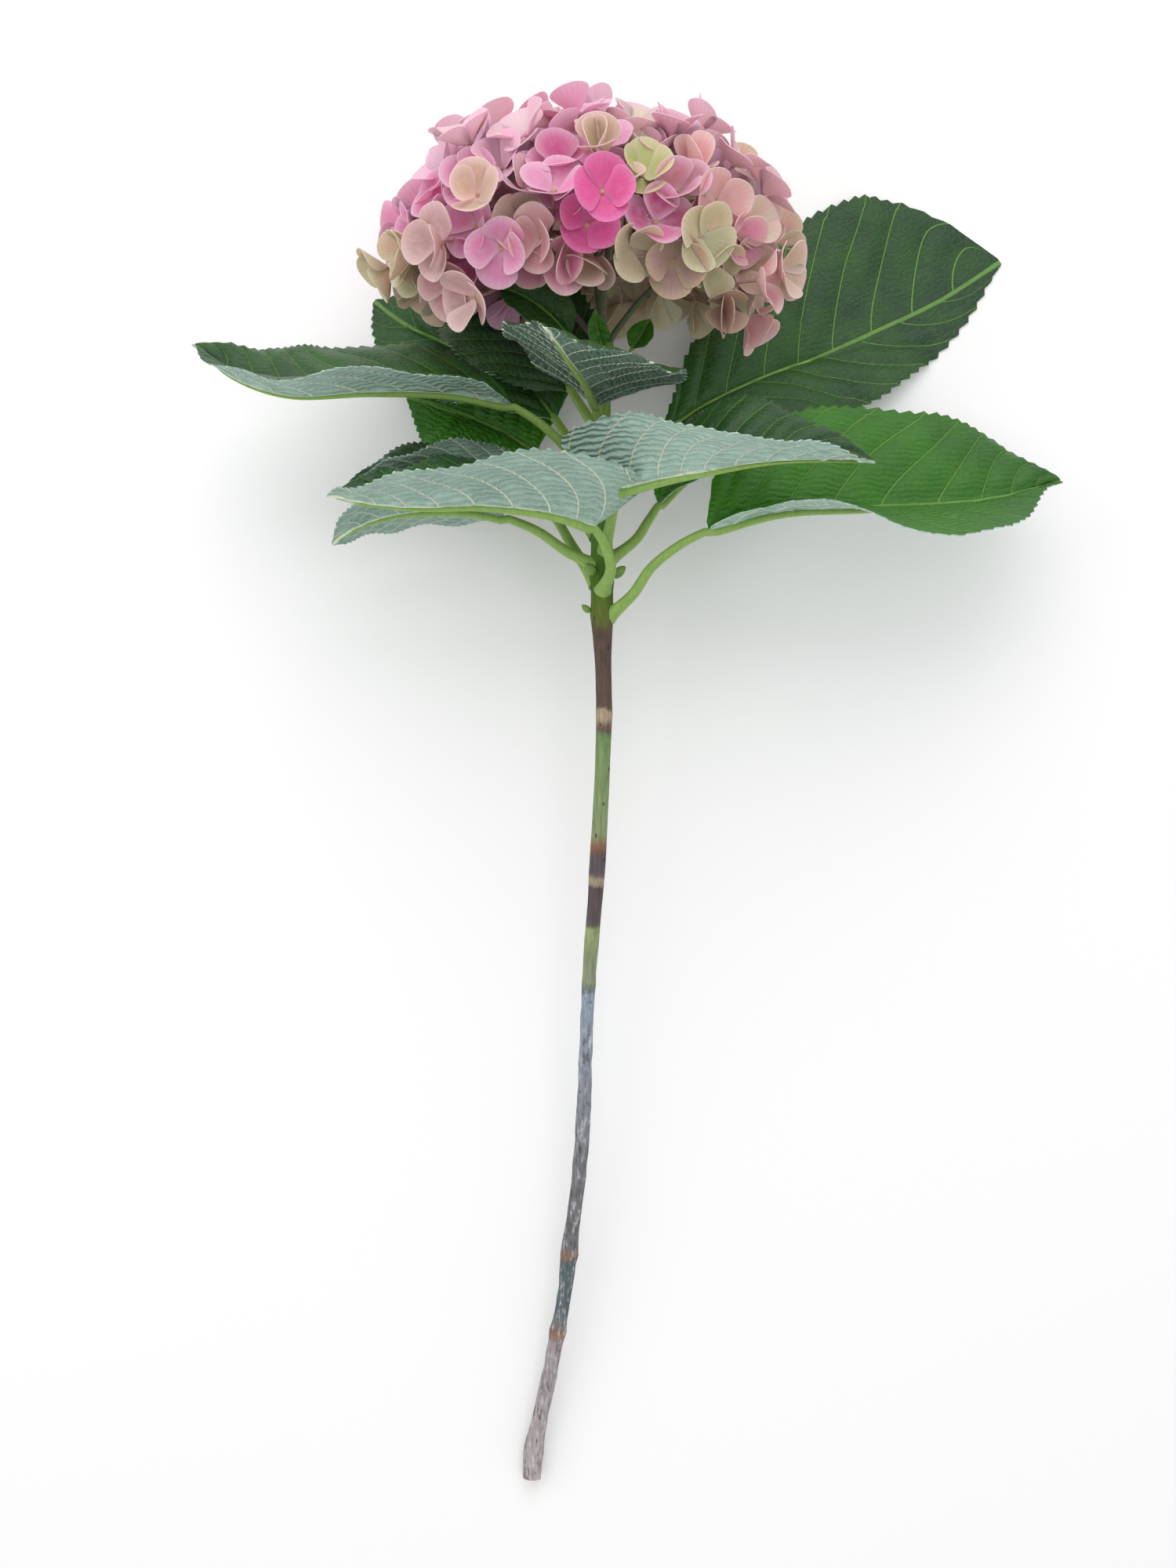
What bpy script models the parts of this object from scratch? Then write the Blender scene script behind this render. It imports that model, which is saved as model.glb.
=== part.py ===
"""Cut hydrangea: one leafy stem with its mophead flower, lying on a flat surface.

The plant is laid out in its own frame, in millimetres: x to the right, s along the stem
from the cut end towards the flower, h up from the stem, away from the surface it lies on.
place() tilts that frame by SLOPE, so that the cut end and the underside of the flower head
both reach z = 0, centres it on the origin and turns it into metres.

Pieces: the stem, twelve large leaves, three young leaves, three side buds, five flower
branches, and the clusters of florets that the branches carry.
"""
import math

import bmesh
import bpy
from mathutils import Matrix, Vector
from mathutils.bvhtree import BVHTree

# ------------------------------------------------------------------ driving dimensions (mm)
SLOPE = math.radians(7.2)      # how far the flower head lifts the stem
LIFT = 3.9                     # height of the stem's axis at the cut end
ORIGIN_X = 13.6                # plant x of the bounding box's centre
ORIGIN_Y = 296.5               # distance along the surface of the bounding box's centre
GAP = 0.3                      # clearance between pieces that touch on the real plant

# The stem's axis and radius, from the cut end to the top, swollen at the nodes.
STEM = [(-30.2, 0, 3.9), (-29.4, 13, 4.1), (-27.1, 23, 3.3), (-24.9, 33, 3.1), (-21.0, 53, 3.1),
        (-19.2, 62, 3.4), (-17.6, 70, 2.8), (-15.6, 82, 2.9), (-14.4, 95, 3.6), (-13.0, 106, 3.0),
        (-10.2, 127, 3.0), (-8.2, 150, 3.0), (-7.2, 180, 2.8), (-5.6, 214, 2.8), (-4.5, 230, 3.2),
        (-3.1, 246, 3.1), (-2.0, 262, 3.5), (0, 298, 3.2), (1, 329, 3.4), (0.5, 350, 3.5), (0, 369, 4.7),
        (0, 384, 4.8), (0, 397, 4.5), (-0.5, 410, 4.3), (-1, 432, 4.4), (-0.5, 448, 4.2), (0, 470, 3.7),
        (0, 487, 5.0)]

PETIOLE_RADIUS = (2.6, 1.8)    # leaf stalk, at the stem and at the blade
BLADE_THICKNESS = 0.7
BLADE_GRID = (9, 2)            # rows along a blade and columns across each half
LOBE_LENGTH = 0.35             # part of a blade's length that its basal lobes take
LOBE_SHAPE = 2.4
YOUNG_BLADE_GRID = (5, 1)
# Half width of a blade along its midrib, as (part of the length, part of the half width).
BLADE_PROFILE = [(0, 0.07), (0.06, 0.44), (0.15, 0.76), (0.3, 0.97), (0.44, 1.0), (0.6, 0.92),
                 (0.76, 0.67), (0.88, 0.37), (0.95, 0.16), (1, 0.03)]
# Other blades: blunt at the base, broadest towards the tip, full to the tip, drawn out to the tip.
BLUNT = [(0, 0.1), (0.03, 0.75), (0.08, 0.92), (0.2, 1.0), (0.35, 1.0), (0.5, 0.95), (0.66, 0.8),
         (0.8, 0.55), (0.9, 0.3), (0.96, 0.14), (1, 0.03)]
BROAD = [(0, 0.05), (0.1, 0.2), (0.19, 0.4), (0.31, 0.67), (0.42, 0.81), (0.53, 0.92), (0.66, 1.0),
         (0.8, 0.96), (0.9, 0.76), (0.96, 0.44), (1, 0.03)]
FULL = [(0, 0.07), (0.06, 0.4), (0.15, 0.7), (0.3, 0.93), (0.44, 1.0), (0.6, 0.98), (0.76, 0.84),
        (0.88, 0.52), (0.95, 0.24), (1, 0.03)]
DRAWN = [(0, 0.07), (0.06, 0.44), (0.15, 0.76), (0.3, 0.97), (0.44, 1.0), (0.58, 0.88), (0.68, 0.64),
         (0.76, 0.42), (0.84, 0.22), (0.92, 0.09), (1, 0.02)]

# One entry for each leaf.
# node: place on the stem (s) and angle round it in degrees (0 right, 90 up, 180 left).
# stalk: points of the leaf stalk after its seat.  midrib: points from the blade's base to its tip.
# width: half width of the left and right half.  up: way that the upper side faces, base and tip.
# left, right: how far each half is raised towards the upper side, at the base, middle and tip.
# outlines: the left and the right half's shape, if it isn't BLADE_PROFILE.
# lobe: how far the base of the left and the right half reaches back past the midrib's start.
LEAVES = {
    "leaf_long_left": dict(
        node=(430, 180), stalk=[(-14, 441, 2), (-26, 452, 4)], width=(38, 38),
        midrib=[(-39, 460, 6), (-66, 465, 6), (-99, 466, 4), (-133, 465, 2), (-158, 473, 0), (-176, 488, -3)],
        up=[(0.2, 1, 0), (0.2, 1, 0)], left=(3, 0, -4), right=(42, 46, 46),
        outlines=(BLADE_PROFILE, FULL)),
    "leaf_front_left": dict(
        node=(381, 85), stalk=[(3.6, 389, 14), (0.6, 399, 21)], width=(32, 38),
        midrib=[(-4, 405, 27), (-21, 409, 37), (-48, 411, 45), (-73, 410, 48), (-95, 412, 46),
                (-112, 416, 42)],
        up=[(0, 1, -0.1), (0, 1, 0)], left=(50, 20, 12), right=(40, 46, 50),
        outlines=(BLUNT, BLUNT), lobe=(11, 0)),
    "leaf_low_left": dict(
        node=(392, 178), stalk=[(-15, 398, 0), (-28, 407, -1)], width=(22, 20),
        midrib=[(-42, 413, -2), (-57, 416, -4), (-75, 416, -5), (-92, 414, -6), (-106, 409, -6),
                (-117, 402, -6)],
        up=[(0, 0.92, -0.4), (0.2, 0.9, -0.4)], left=(4, 4, 4), right=(14, 14, 12)),
    "leaf_middle_left": dict(
        node=(384, 215), stalk=[(-13, 402, -10), (-21, 415, -11)], width=(28, 28),
        midrib=[(-30, 422, -10), (-50, 427, -8), (-70, 429, -5), (-90, 429, -3), (-109, 428, -2)],
        up=[(0, 1, 0), (0, 1, 0.1)], left=(44, 30, 14), right=(40, 45, 50)),
    "leaf_floor_left": dict(
        node=(405, 222), stalk=[(-14, 420, -15), (-22, 436, -27)], width=(32, 32),
        midrib=[(-30, 448, -40), (-44, 459, -54), (-59, 467, -62), (-74, 472, -66), (-90, 477, -68)],
        up=[(-0.2, 0.6, 0.8), (0, 0.1, 1)], left=(8, 6, 4), right=(8, 6, 4)),
    "leaf_back_left": dict(
        node=(420, 240), stalk=[(-8, 433, -14), (-14, 449, -24)], width=(30, 30),
        midrib=[(-21, 462, -32), (-36, 482, -46), (-53, 493, -55), (-72, 502, -62), (-94, 514, -70),
                (-106, 523, -74)],
        up=[(-0.1, 0.5, 0.9), (0, 0.1, 1)], left=(12, 9, 6), right=(12, 9, 6)),
    "leaf_under_head": dict(
        node=(448, 262), stalk=[(-4, 455, -12), (-9, 464, -18)], width=(32, 32),
        midrib=[(-14, 473, -24), (-25, 489, -35), (-36, 504, -45), (-51, 519, -54), (-66, 532, -61),
                (-80, 545, -66)],
        up=[(-0.1, 0.5, 0.9), (0, 0.1, 1)], left=(12, 8, 4), right=(12, 8, 4)),
    "leaf_back_right": dict(
        node=(432, 338), stalk=[(14, 441, -9), (22, 449, -16)], width=(64, 36),
        midrib=[(30, 456, -24), (51, 472, -43), (78, 487, -58), (102, 497, -66), (129, 509, -71),
                (158, 523, -74), (187, 542, -75)],
        up=[(-0.1, 0.3, 0.95), (0, 0, 1)], left=(2, 3, 4), right=(22, 20, 8),
        outlines=(BROAD, BLADE_PROFILE)),
    "leaf_right": dict(
        node=(370, 2), stalk=[(13, 379, 6), (21, 390, 12), (33, 399, 16)], width=(50, 44),
        midrib=[(45, 405, 18), (77, 414, 10), (114, 417, 0), (158, 421, -12), (184, 426, -18),
                (203, 432, -22)],
        up=[(0, 1, 0), (0, 1, 0)], left=(70, 68, 62), right=(14, -26, -30),
        outlines=(BLADE_PROFILE, DRAWN)),
    "leaf_front_right": dict(
        node=(398, 62), stalk=[(3, 406, 12), (5, 414, 22)], width=(38, 32),
        midrib=[(9, 420, 32), (26, 423, 40), (42, 425, 46), (64, 428, 50), (84, 429, 50), (110, 429, 46)],
        up=[(0, 1, -0.1), (0, 1, 0)], left=(35, 64, 62), right=(70, 10, 5),
        outlines=(BLUNT, BLUNT), lobe=(0, 17)),
    "leaf_behind_right": dict(
        node=(394, 355), stalk=[(14, 403, -3), (20, 412, -6)], width=(14, 17),
        midrib=[(25, 420, -9), (36, 431, -15), (50, 441, -20), (66, 449, -25), (80, 454, -29)],
        up=[(-0.2, 0.9, 0.35), (0, 0.8, 0.5)], left=(24, 22, 20), right=(20, 15, 10)),
    "leaf_towards_viewer": dict(
        node=(447, 82), stalk=[(-1, 450, 16)], width=(44, 34),
        midrib=[(-3, 456, 26), (-7, 461, 44), (-12, 464, 62), (-17, 467, 82), (-22, 470, 102)],
        up=[(0.1, 1, -0.2), (0.2, 1, 0)], left=(8, 0, -6), right=(28, 22, 14)),
    "young_leaf_left": dict(
        node=(474, 160), stalk=[(-9, 481, 7)], width=(12, 12),
        midrib=[(-14, 488, 10), (-23, 497, 13), (-34, 504, 15), (-45, 508, 15)],
        up=[(0, 0.5, 0.9), (0, 0.3, 1)], left=(30, 20, 10), right=(30, 25, 20)),
    "young_leaf_front": dict(
        node=(472, 80), stalk=[(0, 478, 10)], width=(5, 5),
        midrib=[(0, 483, 13), (-2, 489, 16), (-3, 497, 18)],
        up=[(0, 0.4, 1), (0, 0.4, 1)], left=(30, 25, 20), right=(30, 25, 20)),
    "young_leaf_right": dict(
        node=(474, 350), stalk=[(9, 480, -3)], width=(6, 6),
        midrib=[(13, 486, -4), (17, 492, -6), (21, 500, -9)],
        up=[(0, 0.4, 1), (0, 0.4, 1)], left=(25, 22, 20), right=(25, 22, 20)),
}
YOUNG_STALK_SCALE = 0.45       # a young leaf's stalk next to a grown one's

# Side buds: place on the stem, angle round it, length and radius.
BUDS = {"side_bud_left": (388, 130, 6.0, 1.9), "side_bud_right": (387, 20, 6.5, 1.9),
        "side_bud_low": (372, 172, 4.5, 1.3)}

BRANCH_RADIUS = (1.5, 1.1)     # flower branches, at the stem and at the far end
BRANCHES = {
    "flower_branch_left": [(-3.4, 488.1, 0.3), (-7, 494, 1), (-18, 505, 3), (-36, 516, 5), (-56, 526, 6)],
    "flower_branch_right": [(3.4, 488.1, 0), (7, 494, 0), (15, 504, 1), (25, 514, 4), (34, 526, 7)],
    "flower_branch_middle": [(0, 487.35, 0), (0, 495, 0), (-1, 510, 1), (-3, 528, 3), (-4, 546, 4)],
    "flower_branch_front": [(0, 488.1, 3.4), (0.5, 494, 7), (1, 504, 16), (2, 516, 28), (3, 532, 38)],
    "flower_branch_back": [(0, 488.1, -3.4), (-0.5, 494, -7), (-1, 504, -15), (-2, 516, -25), (-3, 532, -34)],
}

# The flower head: an egg-shaped dome of clusters round HEAD_CENTRE, open towards the stem.
HEAD_CENTRE = (-6, 527, 0)
HEAD_RADII = (72, 43, 58)      # to the innermost floret centres, along x, s and h
HEAD_OPENING = 114             # degrees from the top of the dome to its rim
CLUSTERS = 36
CLUSTER_SPREAD = 11.5          # from a cluster's middle to its florets
CLUSTER_DEPTH = 23             # from the dome down to the point where a cluster's stalk divides
LAYER_STEP = 4.4               # florets sit in three layers, so that their sepals lie like tiles
FLORET_RADIUS = 15.5
FLORET_CUP = 3.6               # height of a sepal's rim over the floret's centre
FLORET_NOTCH = 0.74            # radius between two sepals, as a part of the floret's
SHOULDER_SHIFT = (0, -0.25, 0.25)  # turns of a twelfth that bring a rim's points near the notches
FLORET_THICKNESS = 0.7
FLORET_TILT = 16               # degrees that florets lean away from the dome's normal
BACKWARD_LIMIT = -0.85         # a floret that would face straight back along the stem is left out
BACK_RIM = 514                 # florets on the back of the head sit no lower along the stem
BACK_START = -8                # h at which the head's back starts
SHOULDER = (-68, 545)          # and none sits further left than this and further up at once
SETTLE_STEP = 1.5              # a floret moves out by this until it is clear of the others
SETTLE_STEPS = 8
SETTLE_LEANS = (0, 14, 28)     # further lean that is tried at each step
STALK_RADIUS = (0.9, 1.4)      # a cluster's stalk, at the branch and where it divides
PEDICEL_RADIUS = 0.65
# A floret that hangs below the right side of the head: centre, and the way it faces.
HANGING_FLORET = ((50, 498, 24), (0.15, -0.62, 0.77))
HANGING_HUB = (46, 515, 12)

COLLECTION = "cut_hydrangea"


# ------------------------------------------------------------------ frame and routes
def place(point):
    """World position in metres of a point given in the plant's frame."""
    x, s, h = point
    y = s * math.cos(SLOPE) - h * math.sin(SLOPE)
    z = s * math.sin(SLOPE) + h * math.cos(SLOPE)
    return Vector((x - ORIGIN_X, y - ORIGIN_Y, z + LIFT)) * 0.001


def above_floor(point, clearance):
    """The same world point, no lower than clearance (mm) over the surface."""
    return Vector((point.x, point.y, max(point.z, clearance * 0.001)))


def smooth_route(points, count):
    """count + 1 evenly spread points on a smooth curve through the given ones."""
    points = [Vector(p) for p in points]
    ends = [points[0] * 2 - points[1]] + points + [points[-1] * 2 - points[-2]]
    route = []
    for i in range(count + 1):
        position = i / count * (len(points) - 1)
        k = min(int(position), len(points) - 2)
        t = position - k
        a, b, c, d = ends[k:k + 4]
        route.append(0.5 * ((2 * b) + (c - a) * t + (2 * a - 5 * b + 4 * c - d) * t * t
                            + (3 * b - a - 3 * c + d) * t ** 3))
    return route


def stem_at(s):
    """The stem's axis point and radius at a distance s from the cut end."""
    for (x0, s0, r0), (x1, s1, r1) in zip(STEM, STEM[1:]):
        if s <= s1:
            t = (s - s0) / (s1 - s0)
            return Vector((x0 + (x1 - x0) * t, s, 0)), r0 + (r1 - r0) * t
    raise ValueError("no stem at %s" % s)


def seat_on_stem(s, angle, following, radius):
    """Start of a stalk of that radius that leaves the stem towards the following point."""
    axis, stem_radius = stem_at(s)
    outward = Vector((math.cos(math.radians(angle)), 0, math.sin(math.radians(angle))))
    seat = axis + outward * (stem_radius + radius)
    lean = (Vector(following) - seat).normalized().dot(outward)
    return axis + outward * (stem_radius + GAP + radius * math.sqrt(1 - lean * lean))


def profile_width(outline, t):
    """Half width of a blade at a part t of its length, as a part of the widest."""
    for (t0, w0), (t1, w1) in zip(outline, outline[1:]):
        if t <= t1:
            return w0 + (w1 - w0) * (t - t0) / (t1 - t0)
    return outline[-1][1]


# ------------------------------------------------------------------ Blender helpers
def clear_scene():
    for obj in list(bpy.data.objects):
        bpy.data.objects.remove(obj, do_unlink=True)
    for collection in list(bpy.data.collections):
        bpy.data.collections.remove(collection)


def make_material(name, colour, roughness):
    material = bpy.data.materials.new(name)
    material.use_nodes = True
    shader = material.node_tree.nodes["Principled BSDF"]
    shader.inputs["Base Color"].default_value = (*colour, 1)
    shader.inputs["Roughness"].default_value = roughness
    shader.inputs["Metallic"].default_value = 0
    material.diffuse_color = (*colour, 1)
    return material


def new_object(name, mesh, material=None):
    obj = bpy.data.objects.new(name, mesh)
    bpy.data.collections[COLLECTION].objects.link(obj)
    if material:
        mesh.materials.append(material)
    return obj


def bake(obj, weld=True):
    """Give the object its evaluated mesh, welded where asked, and drop its modifiers."""
    depsgraph = bpy.context.evaluated_depsgraph_get()
    mesh = bpy.data.meshes.new_from_object(obj.evaluated_get(depsgraph))
    name = obj.name
    bpy.data.objects.remove(obj, do_unlink=True)
    work = bmesh.new()
    work.from_mesh(mesh)
    if weld:
        bmesh.ops.remove_doubles(work, verts=work.verts, dist=0.00001)
    bmesh.ops.recalc_face_normals(work, faces=work.faces)
    work.to_mesh(mesh)
    work.free()
    mesh.name = name
    return new_object(name, mesh)


def tube(name, points, radii, sides_level=1):
    """A closed tube through world points, with a radius in mm at each of them."""
    curve = bpy.data.curves.new(name, "CURVE")
    curve.dimensions = "3D"
    curve.bevel_depth = 0.001
    curve.bevel_resolution = sides_level
    curve.use_fill_caps = True
    spline = curve.splines.new("POLY")
    spline.points.add(len(points) - 1)
    for target, point, radius in zip(spline.points, points, radii):
        target.co = (*point, 1)
        target.radius = radius
    return bake(new_object(name, curve))


def cone_between(name, start, end, start_radius, end_radius, sides):
    """A closed, tapering rod between two world points; radii in mm."""
    work = bmesh.new()
    axis = end - start
    turn = axis.to_track_quat("Z", "Y").to_matrix().to_4x4()
    bmesh.ops.create_cone(work, cap_ends=True, segments=sides, radius1=start_radius * 0.001,
                          radius2=end_radius * 0.001, depth=axis.length,
                          matrix=Matrix.Translation((start + end) / 2) @ turn)
    mesh = bpy.data.meshes.new(name)
    work.to_mesh(mesh)
    work.free()
    return new_object(name, mesh)


def keep_outer_shell(obj):
    """Drop the small closed pockets that a union of crossing thin pieces can leave inside."""
    work = bmesh.new()
    work.from_mesh(obj.data)
    left = set(work.verts)
    shells = []
    while left:
        shell = set()
        front = [next(iter(left))]
        while front:
            vertex = front.pop()
            if vertex in shell:
                continue
            shell.add(vertex)
            front.extend(edge.other_vert(vertex) for edge in vertex.link_edges)
        left -= shell
        shells.append(shell)
    largest = max(shells, key=len)
    bmesh.ops.delete(work, geom=[v for v in work.verts if v not in largest], context="VERTS")
    work.to_mesh(obj.data)
    work.free()


def unite(name, base, others, material):
    """One closed body made of the base and the others, which overlap."""
    tools = bpy.data.collections.new("tools")
    for other in others:
        tools.objects.link(other)
    union = base.modifiers.new("union", "BOOLEAN")
    union.operation = "UNION"
    union.solver = "EXACT"
    union.operand_type = "COLLECTION"
    union.collection = tools
    bpy.context.view_layer.update()
    base.name = name
    result = bake(base, weld=False)
    result.name = name
    keep_outer_shell(result)
    result.data.materials.append(material)
    for other in others:
        bpy.data.objects.remove(other, do_unlink=True)
    bpy.data.collections.remove(tools)
    return result


def surface_tree(obj):
    mesh = obj.data
    return BVHTree.FromPolygons([v.co for v in mesh.vertices], [p.vertices for p in mesh.polygons])


# ------------------------------------------------------------------ stem, buds and branches
def build_stem(material):
    points = [place((x, s, 0)) for x, s, _ in STEM]
    stem = tube("stem", points, [r for _, _, r in STEM], sides_level=2)
    stem.data.materials.append(material)
    return stem


def build_bud(name, s, angle, length, radius, material):
    """A pointed bud that leans forwards along the stem."""
    outward = Vector((math.cos(math.radians(angle)), 0, math.sin(math.radians(angle))))
    direction = (outward + Vector((0, 0.8, 0))).normalized()
    axis, stem_radius = stem_at(s)
    seat = seat_on_stem(s, angle, axis + outward * (stem_radius + radius) + direction, radius)
    bud = cone_between(name, place(seat), place(seat + direction * length), radius, radius * 0.25, 6)
    bud.data.materials.append(material)
    return bud


def build_branch(name, route, material):
    points = smooth_route(route, 7)
    start, end = BRANCH_RADIUS
    radii = [start + (end - start) * i / 7 for i in range(8)]
    branch = tube(name, [place(p) for p in points], radii)
    branch.data.materials.append(material)
    return branch


def branch_seats(route):
    """Places along a branch where a stalk may start.

    Each is a point on its axis, its direction there, its radius and the length left to its tip."""
    points = smooth_route(route, 24)
    start, end = BRANCH_RADIUS
    return [(points[i], (points[i] - points[i - 1]).normalized(), start + (end - start) * i / 24,
             (points[-1] - points[i]).length) for i in range(6, 25)]


# ------------------------------------------------------------------ leaves
def between_three(values, t):
    """A value that goes from the first (t = 0) through the second to the third (t = 1)."""
    first, middle, last = values
    if t < 0.5:
        return first + (middle - first) * 2 * t
    return middle + (last - middle) * (2 * t - 1)


def blade_points(leaf, rows, half_columns):
    """Rows of world points on the blade, from its base to its tip."""
    midrib = smooth_route(leaf["midrib"], rows)
    up_base, up_tip = (Vector(u).normalized() for u in leaf["up"])
    outlines = leaf.get("outlines", (BLADE_PROFILE, BLADE_PROFILE))
    grid = []
    for i, point in enumerate(midrib):
        t = i / rows
        along = (midrib[min(i + 1, rows)] - midrib[max(i - 1, 0)]).normalized()
        up = up_base.lerp(up_tip, t)
        up = (up - along * up.dot(along)).normalized()
        right = along.cross(up)
        row = []
        for column in range(-half_columns, half_columns + 1):
            side = "right" if column > 0 else "left"
            rise = math.radians(between_three(leaf[side], t))
            breadth = profile_width(outlines[column > 0], t)
            across = leaf["width"][column > 0] * breadth * abs(column) / half_columns
            offset = right * math.copysign(across * math.cos(rise), column) + up * (across * math.sin(rise))
            back = LOBE_SHAPE * breadth * max(0, 1 - t / LOBE_LENGTH) ** 2
            offset -= along * (leaf.get("lobe", (0, 0))[column > 0] * back * abs(column) / half_columns)
            row.append(above_floor(place(point + offset), BLADE_THICKNESS / 2))
        grid.append(row)
    return grid


def build_blade(name, leaf, rows, half_columns):
    """The blade: a grid bent into shape and thickened."""
    grid = blade_points(leaf, rows, half_columns)
    work = bmesh.new()
    bmesh.ops.create_grid(work, x_segments=2 * half_columns, y_segments=rows, size=1)
    vertices = sorted(work.verts, key=lambda v: (round(v.co.y, 4), round(v.co.x, 4)))
    for vertex, point in zip(vertices, (p for row in grid for p in row)):
        vertex.co = point
    mesh = bpy.data.meshes.new(name)
    work.to_mesh(mesh)
    work.free()
    blade = new_object(name, mesh)
    thicken = blade.modifiers.new("thickness", "SOLIDIFY")
    thicken.thickness = BLADE_THICKNESS * 0.001
    thicken.offset = 0
    return bake(blade)


def build_leaf(name, leaf, material):
    """A leaf: its blade and its stalk in one piece, seated on the stem."""
    young = name.startswith("young")
    scale = YOUNG_STALK_SCALE if young else 1
    thick, thin = (radius * scale for radius in PETIOLE_RADIUS)
    s, angle = leaf["node"]
    seat = seat_on_stem(s, angle, leaf["stalk"][0], thick)
    inside_blade = Vector(leaf["midrib"][0]).lerp(Vector(leaf["midrib"][1]), 0.3)
    route = smooth_route([seat] + leaf["stalk"] + [leaf["midrib"][0], inside_blade], 7)
    radii = [thick + (thin - thick) * i / 6 for i in range(7)] + [thin * 0.6]
    points = [above_floor(place(p), r) for p, r in zip(route, radii)]
    stalk = tube(name + "_stalk", points, radii)
    blade = build_blade(name + "_blade", leaf, *(YOUNG_BLADE_GRID if young else BLADE_GRID))
    return unite(name, blade, [stalk], material)


# ------------------------------------------------------------------ flower head
def dome_point(theta, phi, layer):
    """Point and outward normal of the dome, with theta from its top and phi round the stem."""
    direction = Vector((math.sin(theta) * math.cos(phi), math.cos(theta), math.sin(theta) * math.sin(phi)))
    radii = [radius + layer for radius in HEAD_RADII]
    point = Vector([c + d * r for c, d, r in zip(HEAD_CENTRE, direction, radii)])
    normal = Vector([d / r for d, r in zip(direction, radii)]).normalized()
    return point, normal


def onto_dome(point, layer):
    """The dome's point and normal in the direction of a point near it."""
    radii = [radius + layer for radius in HEAD_RADII]
    offset = point - Vector(HEAD_CENTRE)
    stretch = math.sqrt(sum((o / r) ** 2 for o, r in zip(offset, radii)))
    normal = Vector([o / r ** 2 for o, r in zip(offset, radii)]).normalized()
    return Vector(HEAD_CENTRE) + offset / stretch, normal


def cluster_centres():
    """Evenly spread directions on the dome, as (theta, phi), from the top down."""
    lowest = math.cos(math.radians(HEAD_OPENING))
    golden = math.pi * (3 - math.sqrt(5))
    return [(math.acos(1 - (1 - lowest) * (i + 0.5) / CLUSTERS), golden * i) for i in range(CLUSTERS)]


def side_axes(normal):
    """Two directions across the normal."""
    side = normal.cross(Vector((0.3, 0.2, 1))).normalized()
    return side, normal.cross(side)


def lean(normal, degrees, phase):
    """The normal, tipped towards a direction given by the phase."""
    side, other = side_axes(normal)
    tip = side * math.cos(phase) + other * math.sin(phase)
    return (normal + tip * math.tan(math.radians(degrees))).normalized()


def floret_rim(centre, normal, spin, radius):
    """Twelve points round a cupped, four-lobed plate, starting in a notch between two sepals."""
    axes = normal.to_track_quat("Z", "Y").to_matrix()
    rim = []
    for step in range(12):
        reach = radius * (FLORET_NOTCH if step % 3 == 0 else 1)
        bearing = spin + (step + SHOULDER_SHIFT[step % 3]) * math.pi / 6
        cup = FLORET_CUP * (reach / FLORET_RADIUS) ** 2
        rim.append(centre + axes @ Vector((reach * math.cos(bearing), reach * math.sin(bearing), cup)))
    return rim


def floret_tree(centre, normal, spin, radius):
    """Search tree of a floret's plate, grown by the clearance, and its lowest height."""
    half = normal * (FLORET_THICKNESS / 2 + GAP)
    rim = floret_rim(centre, normal, spin, radius + GAP)
    points = [place(p + half) for p in rim + [centre]] + [place(p - half) for p in rim + [centre]]
    faces = []
    for i in range(12):
        following = (i + 1) % 12
        faces += [(i, following, 12), (following + 13, i + 13, 25), (i, i + 13, following + 13, following)]
    return BVHTree.FromPolygons(points, faces), min(p.z for p in points)


def rod_tree(start, end, radius):
    """Search tree of a rod's four sides, grown by the clearance."""
    side, other = side_axes((end - start).normalized())
    reach = radius + GAP
    corners = [side * reach, other * reach, -side * reach, -other * reach]
    points = [place(start + c) for c in corners] + [place(end + c) for c in corners]
    return BVHTree.FromPolygons(points, [(i, (i + 1) % 4, (i + 1) % 4 + 4, i + 4) for i in range(4)])


def clear_of(tree, placed):
    return not any(tree.overlap(other) for other in placed)


def settle_floret(centre, normal, spin, hub, placed, siblings):
    """Move a floret out and lean it until it and its pedicel are clear; None where there is no room.

    placed holds the search trees of all other pieces, siblings those of the pedicels that
    meet at the same hub, which this floret's pedicel may touch and its plate may not."""
    for step in range(SETTLE_STEPS):
        at = centre + normal * SETTLE_STEP * step
        for extra in SETTLE_LEANS:
            for turn in range(3 if extra else 1):
                facing = lean(normal, extra, turn * 2.1 + spin)
                for radius in (FLORET_RADIUS, FLORET_RADIUS * 0.9):
                    plate, lowest = floret_tree(at, facing, spin, radius)
                    if lowest < 0 or not clear_of(plate, placed + siblings):
                        continue
                    pedicel = rod_tree(hub, at - facing * (FLORET_THICKNESS + 2 * GAP), PEDICEL_RADIUS)
                    if clear_of(pedicel, placed):
                        return (at, facing, spin, radius), plate, pedicel
    return None


def off_the_head(point):
    """Whether a point lies below the rim at the head's back or beyond its sloping left shoulder."""
    low_on_back = point.z < BACK_START and point.y < BACK_RIM
    return low_on_back or (point.x < SHOULDER[0] and point.y > SHOULDER[1])


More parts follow.
